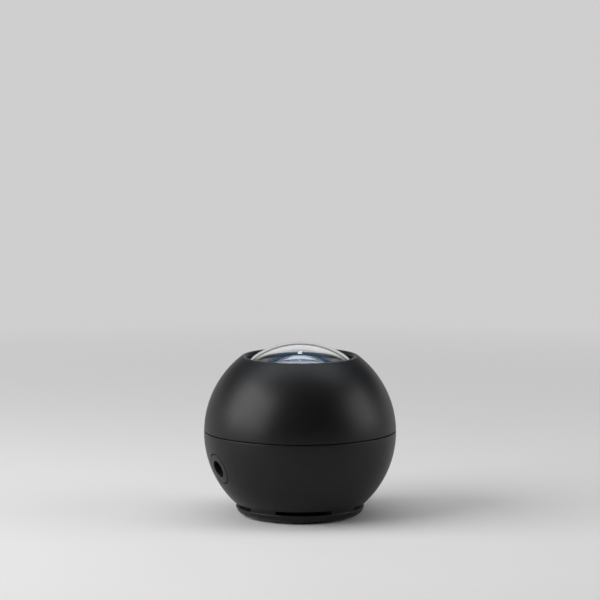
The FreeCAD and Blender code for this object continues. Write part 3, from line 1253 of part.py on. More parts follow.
def wire(points):
    """Round wire of straight runs joined by tangent arcs, each as large as its runs allow."""
    edges = []
    here = points[0]
    for before, corner, after in zip(points, points[1:], points[2:]):
        back = before - corner
        ahead = after - corner
        setback = 0.45 * min(back.Length, ahead.Length)
        half_turn = (pi - back.getAngle(ahead)) / 2
        radius = setback / tan(half_turn)
        back.normalize()
        ahead.normalize()
        inward = back + ahead
        inward.normalize()
        start = corner + back * setback
        end = corner + ahead * setback
        through = corner + inward * (radius / cos(half_turn) - radius)
        edges.append(Part.LineSegment(here, start).toShape())
        edges.append(Part.Arc(start, through, end).toShape())
        here = end
    edges.append(Part.LineSegment(here, points[-1]).toShape())
    section = Part.Wire([Part.makeCircle(WIRE_R, points[0], points[1] - points[0])])
    return Part.Wire(edges).makePipeShell([section], True, False)


def header_entry(x_offset, side):
    return V(BOARD_X + BOARD_W / 2 + x_offset, side * (HEADER_AT + HEADER_L / 2 + AIR), BOARD_TOP_Z + WIRE_RISE)


def make_wires():
    """Wires from the inlet, the motor, the lamp and the switches to the main board."""
    jack_back = inlet_rod(WIRE_R, JACK_BACK - 2 * AIR, JACK_BACK).CenterOfMass
    behind_switches = SWITCH_BOARD_TOP - SWITCH_BOARD_H - AIR
    board_back = at_back(Part.makeSphere(WIRE_R, V(0, 0, behind_switches))).CenterOfMass
    z = BOARD_TOP_Z + WIRE_RISE
    inlet_wire = wire([jack_back, V(-27.5, -15.0, z + 1.5), V(-20.0, -27.5, z), V(-3.0, -34.0, z - 0.5),
                       V(17.0, -30.5, z - 0.5), V(32.3, -26.0, z), header_entry(0.2, -1)])
    motor_side = motor_place() + polar(MOTOR_R + WIRE_R, -60.0, CHASSIS_Z - 0.7 * MOTOR_H)
    motor_wire = wire([motor_side, V(-32.0, -7.5, z - 4.5), V(-24.5, -19.5, z - 3.0), V(-8.0, -29.0, z - 2.0),
                       V(13.0, -27.5, z - 1.5), V(29.9, -24.5, z - 0.5), header_entry(-2.4, -1)])
    lamp_side = polar(LED_BOARD_R - 2.0, -45.0, LAMP_Z + LED_BOARD_H + WIRE_R + AIR)
    lamp_wire = wire([lamp_side, polar(27.6, -45.0, LAMP_Z + 3.0), V(29.0, -27.0, LAMP_Z + 6.5),
                      V(35.6, -23.8, z - 0.8), header_entry(2.8, -1)])
    switch_wire = wire([board_back, V(4.0, 35.5, z + 0.5), V(17.0, 32.0, z + 0.5),
                        V(29.5, 25.0, z), header_entry(0.0, 1)])
    return group([inlet_wire, motor_wire, lamp_wire, switch_wire])


# ---------------------------------------------------------------- all sub-parts

NODES = {
    "foot_dish": make_foot_dish,
    "anti_slip_ring": make_anti_slip_ring,
    "foot_screws": make_foot_screws,
    "lower_shell": make_lower_shell,
    "glide_ring": make_glide_ring,
    "turret_keepers": make_turret_keepers,
    "keeper_screws": make_keeper_screws,
    "upper_shell": make_upper_shell,
    "dome_gasket": make_dome_gasket,
    "dome_lens": make_dome_lens,
    "dome_spring_ring": make_dome_spring_ring,
    "lens_bezel": make_lens_bezel,
    "cam_tube": make_cam_tube,
    "cam_screws": make_cam_screws,
    "lens_barrel": make_lens_barrel,
    "cam_pins": make_cam_pins,
    "front_lens": make_front_lens,
    "front_lens_ring": make_front_lens_ring,
    "lens_spacer": make_lens_spacer,
    "middle_lens": make_middle_lens,
    "rear_lens": make_rear_lens,
    "rear_lens_ring": make_rear_lens_ring,
    "lens_guide": make_lens_guide,
    "rotor_gear": make_rotor_gear,
    "star_disc": make_star_disc,
    "disc_clip": make_disc_clip,
    "rotor_clip": make_rotor_clip,
    "idler_gear": make_idler_gear,
    "idler_pin": make_idler_pin,
    "motor_pinion": make_motor_pinion,
    "motor_shaft": make_motor_shaft,
    "drive_motor": make_drive_motor,
    "motor_screws": make_motor_screws,
    "chassis": make_chassis,
    "chassis_screws": make_chassis_screws,
    "lamp_housing": make_lamp_housing,
    "underside_screws": make_underside_screws,
    "condenser_lens": make_condenser_lens,
    "condenser_ring": make_condenser_ring,
    "heat_sink": make_heat_sink,
    "heat_sink_screws": make_heat_sink_screws,
    "led_board": make_led_board,
    "led_emitter": make_led_emitter,
    "inlet_plate": make_inlet_plate,
    "power_jack": make_power_jack,
    "jack_nut": make_jack_nut,
    "power_button": lambda: make_button(-1),
    "rotation_button": lambda: make_button(1),
    "power_plunger": lambda: make_plunger(-1),
    "rotation_plunger": lambda: make_plunger(1),
    "tact_switches": make_switches,
    "switch_board": make_switch_board,
    "switch_screws": make_switch_screws,
    "main_board": make_main_board,
    "board_screws": make_board_screws,
    "control_chip": make_control_chip,
    "led_driver_coil": make_led_driver_coil,
    "filter_capacitor": make_filter_capacitor,
    "wire_headers": make_wire_headers,
    "wires": make_wires,
}

os.makedirs("parts", exist_ok=True)
for name, make in NODES.items():
    make().exportStep("parts/" + name + ".step")
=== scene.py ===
"""Planetarium projector: finishes and fine outer shapes around its fixed parts."""

import json
import math

import bmesh
import bpy
from bpy.props import FloatProperty, FloatVectorProperty, IntProperty, PointerProperty
from bpy.types import Operator, Panel, PropertyGroup
from mathutils import Matrix, Vector

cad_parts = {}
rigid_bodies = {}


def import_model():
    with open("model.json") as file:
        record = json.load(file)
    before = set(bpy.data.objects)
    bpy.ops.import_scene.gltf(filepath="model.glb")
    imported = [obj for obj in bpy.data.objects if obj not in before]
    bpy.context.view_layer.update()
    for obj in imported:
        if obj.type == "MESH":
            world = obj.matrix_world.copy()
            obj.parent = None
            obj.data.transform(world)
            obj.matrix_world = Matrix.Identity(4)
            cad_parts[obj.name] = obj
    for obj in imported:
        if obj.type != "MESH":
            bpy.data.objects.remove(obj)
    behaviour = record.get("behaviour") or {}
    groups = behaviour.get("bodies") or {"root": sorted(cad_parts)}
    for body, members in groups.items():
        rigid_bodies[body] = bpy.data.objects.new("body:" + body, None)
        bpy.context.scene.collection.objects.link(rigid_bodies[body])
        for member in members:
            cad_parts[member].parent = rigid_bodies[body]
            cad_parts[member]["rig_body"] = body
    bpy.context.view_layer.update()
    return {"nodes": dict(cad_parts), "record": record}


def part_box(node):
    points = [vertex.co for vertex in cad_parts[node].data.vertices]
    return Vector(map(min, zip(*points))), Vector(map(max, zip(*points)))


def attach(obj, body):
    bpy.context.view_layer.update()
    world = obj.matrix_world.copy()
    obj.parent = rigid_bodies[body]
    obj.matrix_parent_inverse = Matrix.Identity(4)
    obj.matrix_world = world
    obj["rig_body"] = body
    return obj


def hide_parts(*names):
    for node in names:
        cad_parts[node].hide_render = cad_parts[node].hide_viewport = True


bl_info = {
    "name": "Planetarium Projector",
    "version": (1, 0, 0),
    "blender": (4, 5, 0),
    "location": "View3D > Sidebar > Projector",
    "description": "Models the shells, lenses and finishes of a small planetarium projector",
    "category": "Object",
}

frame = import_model()

MM = 0.001


def low(node):
    """Lowest corner of a part."""
    return Vector(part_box(node)[0])


def high(node):
    """Highest corner of a part."""
    return Vector(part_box(node)[1])


# Levels that the fixed parts give
BALL_CUT_Z = low("lower_shell").z
SEAM_LOW_Z = low("upper_shell").z
DOME_TOP_Z = high("dome_lens").z
DOME_FOOT_Z = low("dome_lens").z
LENS_TOP_Z = high("front_lens").z
LENS_BACK_Z = low("front_lens").z
BEZEL_LOW_Z = low("lens_bezel").z
CHASSIS_LOW_Z = low("chassis").z
CHASSIS_TOP_Z = CHASSIS_LOW_Z + 2.5 * MM
KEEPER_FOOT_Z = low("turret_keepers").z
BEZEL_TOP_Z = high("lens_bezel").z
BEZEL_R = high("lens_bezel").x
FLANGE_LOW_Z = SEAM_LOW_Z + 4.0 * MM
FLANGE_TOP_Z = SEAM_LOW_Z + 6.0 * MM

# Sizes inside the shells
FLANGE_R = 51.5 * MM
DOME_GASKET = 0.6 * MM
BOSS_R = 3.2 * MM
PILOT_R = 0.95 * MM
FOOT_SCREW_AT_R = 21.0 * MM
FLOOR_CENTRE_R = 24.0 * MM
SPIGOT_WALL = 1.8 * MM
KEEPER_AT_R = 48.6 * MM
PILLAR_AT_R = 43.5 * MM
CAM_BOSS_AT_R = 37.4 * MM
CAM_BOSS_DEPTH = 4.3 * MM
VENT_R, VENT_AT_R = 2.6 * MM, 30.4 * MM
BUTTON_WELL_FACE = 53.3 * MM
SWITCH_POST_R, SWITCH_POST_FACE, SWITCH_POST_ASIDE = 2.6 * MM, 47.62 * MM, 17.4 * MM
CUT_FROM, CUT_TO = 40.0 * MM, 70.0 * MM

# Camera: height and pitch in degrees, and its small shift to the left
CAMERA_RISE, CAMERA_PITCH, CAMERA_ASIDE = 9.5, 7.24, 0.04 * MM


# ---------------------------------------------------------------- settings

def length(name, description, default):
    """Length property in metres."""
    return FloatProperty(name=name, description=description, default=default, unit="LENGTH", precision=5)


def colour(name, description, default):
    """Linear colour property."""
    return FloatVectorProperty(name=name, description=description, default=default, size=3,
                               subtype="COLOR", min=0.0, max=1.0)


def angle(name, description, degrees):
    """Angle property, given in degrees."""
    return FloatProperty(name=name, description=description, default=math.radians(degrees), subtype="ANGLE")


def power(name, description, watts):
    """Power of a lamp."""
    return FloatProperty(name=name, description=description, default=watts, min=0.0, unit="POWER")


class BallSettings(PropertyGroup):
    """Sizes of the two half shells."""
    radius: length("Ball radius", "Outer radius of the ball", 60.0 * MM)
    centre: length("Centre height", "Height of the ball's centre above the floor", 52.1 * MM)
    wall: length("Wall", "Wall of the half shells", 2.6 * MM)
    seam_gap: length("Seam gap", "Height of the parting line", 0.5 * MM)
    seam_round: length("Seam rounding", "Rounded edge beside the parting line", 0.35 * MM)
    opening: length("Opening radius", "Inner wall of the opening at the top", 33.0 * MM)
    lip: length("Lip rounding", "Rounding of the opening's lip", 2.2 * MM)
    segments: IntProperty(name="Segments", description="Steps round the ball", default=288, min=24, max=512)


class FootSettings(PropertyGroup):
    """Sizes of the foot and its anti-slip ring."""
    rim_radius: length("Rim radius", "Outer radius of the foot's rim", 40.1 * MM)
    flank: length("Flank rounding", "Radius of the foot's rounded flank", 5.2 * MM)
    wall: length("Wall", "Wall of the foot", 2.3 * MM)
    slot: length("Air slot", "Height of the slots between foot and ball", 2.5 * MM)
    land_angle: angle("Land width", "Width of one land", 28.0)
    land_first: angle("First land", "Direction of the first land's middle", -126.6)
    land_pair: angle("Land pair", "Angle between the two front lands", 79.6)
    land_inset: length("Land inset", "How far a land's foot lies inside the rim", 0.8 * MM)
    rib: length("Rib", "Outer radius of the rib that joins the posts", 25.4 * MM)
    rib_wall: length("Rib width", "Width of that rib", 1.6 * MM)
    rib_gap: length("Rib gap", "From the rib up to the ball", 0.8 * MM)
    post: length("Post radius", "Radius of a post round a screw", 3.6 * MM)
    screw_hole: length("Screw hole", "Radius of the hole in a post", 1.7 * MM)
    grip_radius: length("Grip ring radius", "Middle radius of the anti-slip ring", 27.8 * MM)
    grip_width: length("Grip ring width", "Width of the anti-slip ring", 3.0 * MM)


class OpticsSettings(PropertyGroup):
    """Sizes of the dome, the bezel and the front lens."""
    dome_curve: length("Dome curve", "Outer radius of curvature of the dome", 53.5 * MM)
    dome_glass: length("Dome thickness", "Thickness of the clear dome", 1.9 * MM)
    dome_skirt: length("Skirt radius", "Outer radius of the dome's straight skirt", 32.7 * MM)
    lens_curve: length("Lens curve", "Radius of curvature of the front lens", 29.7 * MM)
    lens_radius: length("Lens radius", "Outer radius of the front lens", 20.0 * MM)
    bezel_edge: length("Bezel edge", "Radius of the bezel's upper edge", 27.0 * MM)
    bezel_bore: length("Bezel bore", "Bore of the bezel round the lens nose", 22.7 * MM)
    bezel_dish: length("Bezel dish", "How far the bezel falls towards the lens", 1.6 * MM)
    bezel_wall: length("Bezel wall", "Thickness of the bezel", 1.6 * MM)
    lens_tint: colour("Lens tint", "Tint of the coated lens", (0.57, 0.65, 0.74))


class InletSettings(PropertyGroup):
    """Place and sizes of the round power inlet."""
    direction: angle("Direction", "Direction of the inlet, seen from above", 206.65)
    tilt: angle("Tilt", "How far the inlet points down", 18.9)
    plate: length("Plate radius", "Radius of the round plate flush with the ball", 9.5 * MM)
    joint: length("Joint line", "Width of the joint line round the plate", 0.6 * MM)
    bore: length("Bore radius", "Radius of the plug's recess", 5.5 * MM)
    depth: length("Depth", "Ball surface to the bottom of the recess", 6.2 * MM)
    nut: length("Nut radius", "Radius of the jack's nut", 5.0 * MM)


class ButtonSettings(PropertyGroup):
    """Place and sizes of the two push buttons at the back."""
    tilt: angle("Tilt", "How far the buttons point down", 20.0)
    spacing: length("Spacing", "Distance between the buttons' axes", 18.0 * MM)
    radius: length("Cap radius", "Radius of a cap", 4.2 * MM)
    gap: length("Gap", "Gap round a cap", 0.35 * MM)
    proud: length("Proud", "How far a cap stands out of the ball", 0.7 * MM)
    cap: length("Cap length", "Length of a cap with its lip", 8.0 * MM)


class FinishSettings(PropertyGroup):
    """Colours of the main finishes, linear."""
    shell: colour("Shell", "Soft-touch black of the ball", (0.0036, 0.0036, 0.0040))
    foot: colour("Foot", "Matte black of the foot", (0.0040, 0.0040, 0.0044))
    bezel: colour("Bezel", "Slate black of the bezel", (0.018, 0.031, 0.046))
    inner: colour("Inner black", "Flat black of the inlet and the lens barrel", (0.0028, 0.0028, 0.0031))
    grey: colour("Frame grey", "Grey of the moulded chassis", (0.16, 0.17, 0.18))
    board: colour("Board", "Green of the circuit boards", (0.012, 0.10, 0.035))


class StageSettings(PropertyGroup):
    """Floor, backdrop, lamps and camera."""
    floor: colour("Floor", "Colour of the floor", (0.590, 0.590, 0.590))
    backdrop: colour("Backdrop", "Colour of the backdrop", (0.620, 0.620, 0.620))
    ceiling: colour("Ceiling", "Colour that reflections see high over the backdrop", (0.34, 0.62, 0.95))
    key: power("Key lamp", "Power of the soft lamp at the left", 23.4)
    fill: power("Fill lamp", "Power of the soft lamp at the right", 6.2)
    top: power("Top lamp", "Power of the soft lamp overhead", 9.0)
    glint: power("Glint lamp", "Power of the small lamp that shows in the glass", 0.08)
    ambient: FloatProperty(name="Ambient", description="Light from all round", default=0.13, min=0.0)
    camera_distance: length("Camera distance", "Camera to the ball's centre", 2.085)
    camera_lens: FloatProperty(name="Focal length", description="Focal length in mm", default=200.0, min=10.0)


# ---------------------------------------------------------------- shape helpers

def leg(hypotenuse, other):
    """Second short side of a right triangle."""
    return math.sqrt(hypotenuse ** 2 - other ** 2)


class Section:
    """Half section of a turned piece: drawn in the XZ plane, then spun round its axis."""

    def __init__(self, x, z):
        self.shape = bmesh.new()
        self.first = self.shape.verts.new((x, 0.0, z))
        self.tip = self.first

    def to(self, x, z):
        """Straight line to a point."""
        point = self.shape.verts.new((x, 0.0, z))
        self.shape.edges.new((self.tip, point))
        self.tip = point
        return self

    def arc(self, centre_x, centre_z, turn, steps):
        """Arc round a centre by a signed angle in radians, positive from +X towards +Z."""
        swept = bmesh.ops.spin(self.shape, geom=[self.tip], cent=(centre_x, 0.0, centre_z),
                               axis=(0.0, -1.0, 0.0), angle=turn, steps=steps, use_duplicate=False)
        self.tip = next(item for item in swept["geom_last"] if isinstance(item, bmesh.types.BMVert))
        return self

    def arc_to_height(self, radius, centre_z, z, steps):
        """Arc of a circle centred on the axis, up or down to a height."""
        start = math.asin(max(-1.0, min(1.0, (self.tip.co.z - centre_z) / radius)))
        stop = math.asin(max(-1.0, min(1.0, (z - centre_z) / radius)))
        return self.arc(0.0, centre_z, stop - start, steps)

    def rounded(self, x, z, next_x, next_z, radius, steps=6):
        """Line to a corner that is rounded towards the next point; the line goes on from its end."""
        here = Vector((self.tip.co.x, self.tip.co.z))
        corner = Vector((x, z))
        before = (here - corner).normalized()
        after = (Vector((next_x, next_z)) - corner).normalized()
        angle = before.angle(after)
        setback = radius / math.tan(angle / 2)
        start = corner + before * setback
        centre = corner + (before + after).normalized() * (radius / math.sin(angle / 2))
        turn = math.pi - angle
        side = before.cross(after)
        self.to(start.x, start.y)
        return self.arc(centre.x, centre.y, turn if side < 0 else -turn, steps)

    def spun(self, steps, angle=math.tau):
        """Closed shape turned about the vertical axis."""
        shape = self.shape
        shape.edges.new((self.tip, self.first))
        whole = abs(angle - math.tau) < 1e-6
        if not whole:
            bmesh.ops.contextual_create(shape, geom=shape.edges[:])
        bmesh.ops.spin(shape, geom=shape.verts[:] + shape.edges[:] + shape.faces[:], cent=(0, 0, 0),
                       axis=(0, 0, 1), angle=angle, steps=steps, use_merge=whole, use_duplicate=False)
        bmesh.ops.remove_doubles(shape, verts=shape.verts, dist=2e-7)
        bmesh.ops.recalc_face_normals(shape, faces=shape.faces)
        return shape


def mesh_from(name, shape):
    """Mesh from a bmesh, which is used up."""
    mesh = bpy.data.meshes.new(name)
    shape.to_mesh(mesh)
    shape.free()
    return mesh


def smooth(mesh):
    """Smooth faces that stay crisp at real edges."""
    mesh.shade_smooth()
    mesh.set_sharp_from_angle(angle=math.radians(35.0))


def placed(name, data):
    """Object in the scene."""
    piece = bpy.data.objects.new(name, data)
    bpy.context.scene.collection.objects.link(piece)
    return piece


def as_piece(name, shape, finish, place=None):
    """Object from a bmesh."""
    if place is not None:
        bmesh.ops.transform(shape, matrix=place, verts=shape.verts)
    mesh = mesh_from(name, shape)
    smooth(mesh)
    mesh.materials.append(finish)
    return placed(name, mesh)


def cut_away(piece, shape):
    """Takes a closed shape out of a piece."""
    mesh = mesh_from("cutter", shape)
    cutter = placed("cutter", mesh)
    modifier = piece.modifiers.new("cut", "BOOLEAN")
    modifier.operation = "DIFFERENCE"
    modifier.solver = "EXACT"
    modifier.object = cutter
    bpy.context.view_layer.update()
    whole = piece.evaluated_get(bpy.context.evaluated_depsgraph_get())
    result = bpy.data.meshes.new_from_object(whole)
    piece.modifiers.clear()
    old = piece.data
    piece.data = result
    bpy.data.meshes.remove(old)
    result.name = piece.name
    bpy.data.objects.remove(cutter)
    bpy.data.meshes.remove(mesh)
    smooth(result)


def merged(shapes, first=None):
    """One shape from several, after a mesh that comes first."""
    whole = bmesh.new()
    if first:
        whole.from_mesh(first)
    for shape in shapes:
        part = mesh_from("part", shape)
        whole.from_mesh(part)
        bpy.data.meshes.remove(part)
    return whole


def add_to(piece, shapes):
    """Adds closed shapes to a piece as part of the same moulding."""
    whole = merged(shapes, piece.data)
    whole.to_mesh(piece.data)
    whole.free()
    smooth(piece.data)


def boss(radius, face, at, wall, place, bore, depth=0.0):
    """Round boss inside a spherical wall about the origin. Its outer end follows the wall; its face has a blind
    hole, or a hole right through where no depth is given."""
    far = math.sqrt(wall ** 2 - at[0] ** 2 - at[1] ** 2)
    if depth:
        section = Section(0.0, face + depth)
        section.to(bore, face + depth).to(bore, face).to(radius, face).to(radius, far).to(0.0, far)
    else:
        section = Section(bore, face)
        section.to(radius, face).to(radius, far).to(bore, far)
    shape = section.spun(40)
    ends = [vert for vert in shape.verts if vert.co.z > far - 0.01 * MM]
    bmesh.ops.translate(shape, verts=shape.verts, vec=(at[0], at[1], 0.0))
    for vert in ends:
        vert.co.z = math.sqrt(wall ** 2 - vert.co.x ** 2 - vert.co.y ** 2)
    bmesh.ops.transform(shape, matrix=place, verts=shape.verts)
    return shape


def around(count, first, radius):
    """Points spread evenly on a circle."""
    turns = [math.radians(first) + index * math.tau / count for index in range(count)]
    return [(radius * math.cos(turn), radius * math.sin(turn)) for turn in turns]


def rod(radius, bottom, top, place, steps):
    """Closed round rod between two heights on its own axis."""
    shape = bmesh.new()
    bmesh.ops.create_cone(shape, cap_ends=True, segments=steps, radius1=radius, radius2=radius,
                          depth=top - bottom, matrix=Matrix.Translation((0, 0, (top + bottom) / 2)))
    bmesh.ops.transform(shape, matrix=place, verts=shape.verts)
    return shape


def screw_places():
    """Places of the four screws of the foot."""
    return [Matrix.Rotation(math.radians(45.0 + 90.0 * turn), 4, "Z") @ Matrix.Translation((FOOT_SCREW_AT_R, 0, 0))
            for turn in range(4)]


def pointing(direction, tilt, centre_z, aside=0.0):
    """Place of a piece whose axis runs from the ball's centre in a direction, pointing down by the tilt."""
    turn = Matrix.Rotation(direction, 4, "Z") @ Matrix.Rotation(math.pi / 2 + tilt, 4, "Y")
    return Matrix.Translation((0, 0, centre_z)) @ turn @ Matrix.Translation((0, aside, 0))


# ---------------------------------------------------------------- node helpers

def joined(nodes, links, operation, first, second=None):
    """Result of a sum on one value or two."""
    node = nodes.new("ShaderNodeMath")
    node.operation = operation
    links.new(first, node.inputs[0])
    if second:
        links.new(second, node.inputs[1])
    return node.outputs[0]


def spread(nodes, links, value, ends, ease="LINEAR"):
    """Value moved from one range to another: the ends hold both, the first range first."""
    node = nodes.new("ShaderNodeMapRange")
    node.interpolation_type = ease
    for index, number in enumerate(ends, 1):
        node.inputs[index].default_value = number
    links.new(value, node.inputs[0])
    return node.outputs[0]


def tinted(nodes, links, factor, first, second):
    """Mix of two colours."""
    node = nodes.new("ShaderNodeMix")
    node.data_type = "RGBA"
    links.new(factor, node.inputs[0])
    node.inputs[6].default_value = (*first, 1.0)
    node.inputs[7].default_value = (*second, 1.0)
    return node.outputs[2]


def blended(nodes, links, factor, first, second):
    """Mix of two shaders."""
    node = nodes.new("ShaderNodeMixShader")
    for index, output in enumerate((factor, first, second)):
        links.new(output, node.inputs[index])
    return node.outputs[0]


def seen_rays(nodes, links):
    """One for camera, glossy and transmission rays, zero for light."""
    path = nodes.new("ShaderNodeLightPath")
    total = path.outputs["Is Camera Ray"]
    for name in ("Is Glossy Ray", "Is Transmission Ray"):
        total = joined(nodes, links, "MAXIMUM", total, path.outputs[name])
    return total


# ---------------------------------------------------------------- finishes

class Finish:
    """Material whose patterns follow the piece itself."""

    def __init__(self, base, name="finish", **sockets):
        self.material = bpy.data.materials.new(name)
        self.material.use_nodes = True
        self.nodes = self.material.node_tree.nodes
        self.links = self.material.node_tree.links
        self.shader = self.nodes["Principled BSDF"]
        self.base = tuple(base)
        self.place = self.add("ShaderNodeTexCoord").outputs["Object"]
        self.shader.inputs["Base Color"].default_value = (*base, 1.0)
        for socket, value in sockets.items():
            self.shader.inputs[socket.replace("_", " ").title().replace("Ior", "IOR")].default_value = value

    def add(self, kind, **inputs):
        """New node with values on its sockets."""
        node = self.nodes.new(kind)
        for socket, value in inputs.items():
            node.inputs[socket.replace("_", " ")].default_value = value
        return node

    def noise(self, scale, detail=3.0, stretch=None):
        """Soft cloudy pattern, optionally stretched along an axis."""
        node = self.add("ShaderNodeTexNoise", Scale=scale, Detail=detail)
        if stretch:
            mapping = self.add("ShaderNodeMapping", Scale=stretch)
            self.links.new(self.place, mapping.inputs["Vector"])
            self.links.new(mapping.outputs["Vector"], node.inputs["Vector"])
        else:
            self.links.new(self.place, node.inputs["Vector"])
        return node.outputs["Fac"]

    def cells(self, scale, feature="F1"):
        """Cell pattern: distance to scattered points or to their borders."""
        node = self.add("ShaderNodeTexVoronoi", Scale=scale)
        node.feature = feature
        self.links.new(self.place, node.inputs["Vector"])
        return node.outputs["Distance"]

    def ranged(self, value, *ends):
        """Value moved from one range to another."""
        return spread(self.nodes, self.links, value, ends)

    def vary(self, socket, low_value, high_value, pattern):
        """Socket driven between two values by a pattern."""
        self.links.new(self.ranged(pattern, 0.3, 0.7, low_value, high_value), self.shader.inputs[socket])
        return self

    def shade(self, other, pattern, low_in=0.3, high_in=0.7):
        """Colour that drifts from the base to another by a pattern."""
        share = self.ranged(pattern, low_in, high_in, 0.0, 1.0)
        self.links.new(tinted(self.nodes, self.links, share, self.base, other), self.shader.inputs["Base Color"])
        return self

    def bump(self, pattern, depth, strength=1.0):
        """Relief of a given depth in metres, added to any relief before it."""
        node = self.add("ShaderNodeBump", Strength=strength, Distance=depth)
        self.links.new(pattern, node.inputs["Height"])
        normal = self.shader.inputs["Normal"]
        if normal.links:
            self.links.new(normal.links[0].from_socket, node.inputs["Normal"])
        self.links.new(node.outputs["Normal"], normal)
        return self


def lighter(base, factor):
    """Same colour, lighter or darker."""
    return tuple(min(1.0, channel * factor) for channel in base)


def recipe(roughness, drift=None, relief=(), reach=(0.3, 0.7), **sockets):
    """Maker of a finish. roughness holds its two ends and a noise, drift a factor on the base colour and a noise
    that is read over the reach, and relief a scale, detail, depth and strength for each layer."""
    def make(base):
        made = Finish(base, **sockets)
        made.vary("Roughness", *roughness[:2], made.noise(*roughness[2:]))
        if drift:
            made.shade(lighter(base, drift[0]), made.noise(*drift[1:]), *reach)
        for scale, detail, depth, strength in relief:
            made.bump(made.noise(scale, detail), depth, strength)
        return made
    return make


def lens_glass(tint):
    """Coated optical glass."""
    made = Finish(tint, transmission_weight=1.0, ior=1.52, coat_weight=0.15, coat_roughness=0.03)
    made.shader.inputs["Coat Tint"].default_value = (0.75, 0.85, 1.0, 1.0)
    return made.vary("Roughness", 0.0, 0.01, made.noise(80.0, 2.0))


def star_film(base):
    """Black film disc, clear at scattered star points and along one hazy band."""
    made = Finish(base)
    stars = made.ranged(made.cells(620.0), 0.0, 0.11, 1.0, 0.0)
    band = made.ranged(made.noise(90.0, 6.0, (0.35, 2.2, 1.0)), 0.56, 0.78, 0.0, 0.35)
    either = joined(made.nodes, made.links, "MAXIMUM", stars, band)
    made.shade((0.75, 0.80, 0.9), either, 0.0, 1.0)
    return made.vary("Roughness", 0.14, 0.22, made.noise(300.0))


def lamp_board(base):
    """White solder mask of the lamp's aluminium board."""
    made = Finish(base)
    made.vary("Roughness", 0.30, 0.42, made.noise(300.0))
    return made.shade(lighter(base, 0.9), made.cells(420.0, "DISTANCE_TO_EDGE"), 0.0, 0.1)


def lamp_package(base):
    """Ceramic lamp package with its warm phosphor."""
    made = Finish(base)
    made.vary("Roughness", 0.25, 0.35, made.noise(800.0))
    made.shade((0.95, 0.72, 0.22), made.noise(260.0, 2.0), 0.42, 0.5)
    return made.bump(made.noise(3000.0, 2.0), 0.000008, 0.5)


def circuit_green(base):
    """Green solder mask over copper tracks."""
    made = Finish(base)
    made.vary("Roughness", 0.24, 0.34, made.noise(400.0))
    tracks = made.cells(330.0, "DISTANCE_TO_EDGE")
    made.shade(lighter(base, 2.4), tracks, 0.10, 0.03)
    return made.bump(made.ranged(tracks, 0.03, 0.10, 1.0, 0.0), 0.000030, 0.7)


FINISHES = {
    # Rubbery paint on the ball: dull, with a faint velvet sheen and a very fine pebble
    "soft_black_shell": recipe((0.37, 0.43, 38.0, 4.0), (1.35, 210.0, 5.0),
                               [(4200.0, 2.0, 0.000006, 0.6), (900.0, 3.0, 0.000010, 0.35)],
                               specular_ior_level=0.25, sheen_weight=0.003, sheen_roughness=0.4),
    # Finely eroded plastic, a little glossier than the ball
    "foot_black": recipe((0.36, 0.46, 60.0, 4.0), (1.5, 300.0, 4.0), [(2600.0, 3.0, 0.000010, 0.6)],
                         specular_ior_level=0.28),
    # Plain moulded black with a satin face
    "button_black": recipe((0.26, 0.36, 160.0, 4.0), (1.5, 700.0, 3.0), [(3200.0, 2.0, 0.000006, 0.5)]),
    # Chalky black with a soft grain
    "black_rubber": recipe((0.74, 0.88, 220.0, 4.0), (1.8, 900.0, 4.0), [(2400.0, 4.0, 0.000020, 0.7)],
                           (0.45, 0.75), specular_ior_level=0.35, sheen_weight=0.15, sheen_roughness=0.6),
    "clear_dome": recipe((0.0, 0.012, 45.0), transmission_weight=1.0, ior=1.49),
    "lens_glass": lens_glass,
    # Glossy blue-black under the dome
    "black_bezel": recipe((0.16, 0.24, 90.0, 4.0), (1.5, 400.0, 3.0), [(1500.0, 2.0, 0.000004, 0.4)]),
    # Flat black against stray light
    "black_inner": recipe((0.38, 0.48, 240.0, 4.0), (1.8, 700.0, 4.0), [(2000.0, 3.0, 0.000012, 0.6)],
                          specular_ior_level=0.34),
    # Dark tempered steel
    "dark_spring_steel": recipe((0.24, 0.40, 500.0, 5.0, (1.0, 1.0, 6.0)), (0.6, 180.0, 4.0), metallic=1.0),
    # Glass-filled moulding
    "grey_frame": recipe((0.48, 0.62, 120.0, 4.0), (0.8, 900.0, 5.0, (1.0, 3.0, 1.0)),
                         [(1800.0, 3.0, 0.000012, 0.6)], specular_ior_level=0.45),
    # Waxy gear plastic
    "white_acetal": recipe((0.28, 0.38, 150.0), (0.93, 90.0, 4.0), subsurface_weight=0.15,
                           subsurface_scale=0.002),
    "star_film": star_film,
    # Zinc-plated screws and pins
    "steel": recipe((0.22, 0.38, 700.0, 4.0), (0.78, 260.0, 4.0), [(1600.0, 3.0, 0.000006, 0.5)], metallic=1.0),
    # Drawn aluminium, with lines along its fins
    "aluminium_sink": recipe((0.34, 0.50, 800.0, 4.0, (1.0, 0.06, 1.0)), (0.85, 500.0, 3.0, (1.0, 0.06, 1.0)),
                             metallic=1.0),
    "white_board": lamp_board,
    "lamp_package": lamp_package,
    "green_board": circuit_green,
    # Moulded epoxy
    "black_component": recipe((0.42, 0.58, 600.0, 4.0), (1.6, 1500.0, 4.0), [(3000.0, 3.0, 0.000010, 0.5)],
                              specular_ior_level=0.45),
    # Shrunk sleeve
    "capacitor_sleeve": recipe((0.16, 0.26, 300.0, 3.0), (0.6, 120.0, 3.0, (1.0, 1.0, 0.1))),
    # Off-white nylon
    "header_nylon": recipe((0.40, 0.52, 500.0, 3.0), (0.88, 200.0, 4.0), specular_ior_level=0.4,
                           subsurface_weight=0.1, subsurface_scale=0.001),
    # Soft insulation
    "wire_sleeve": recipe((0.34, 0.46, 900.0, 3.0), (0.7, 300.0, 3.0), [(1200.0, 2.0, 0.000020, 0.4)]),
}


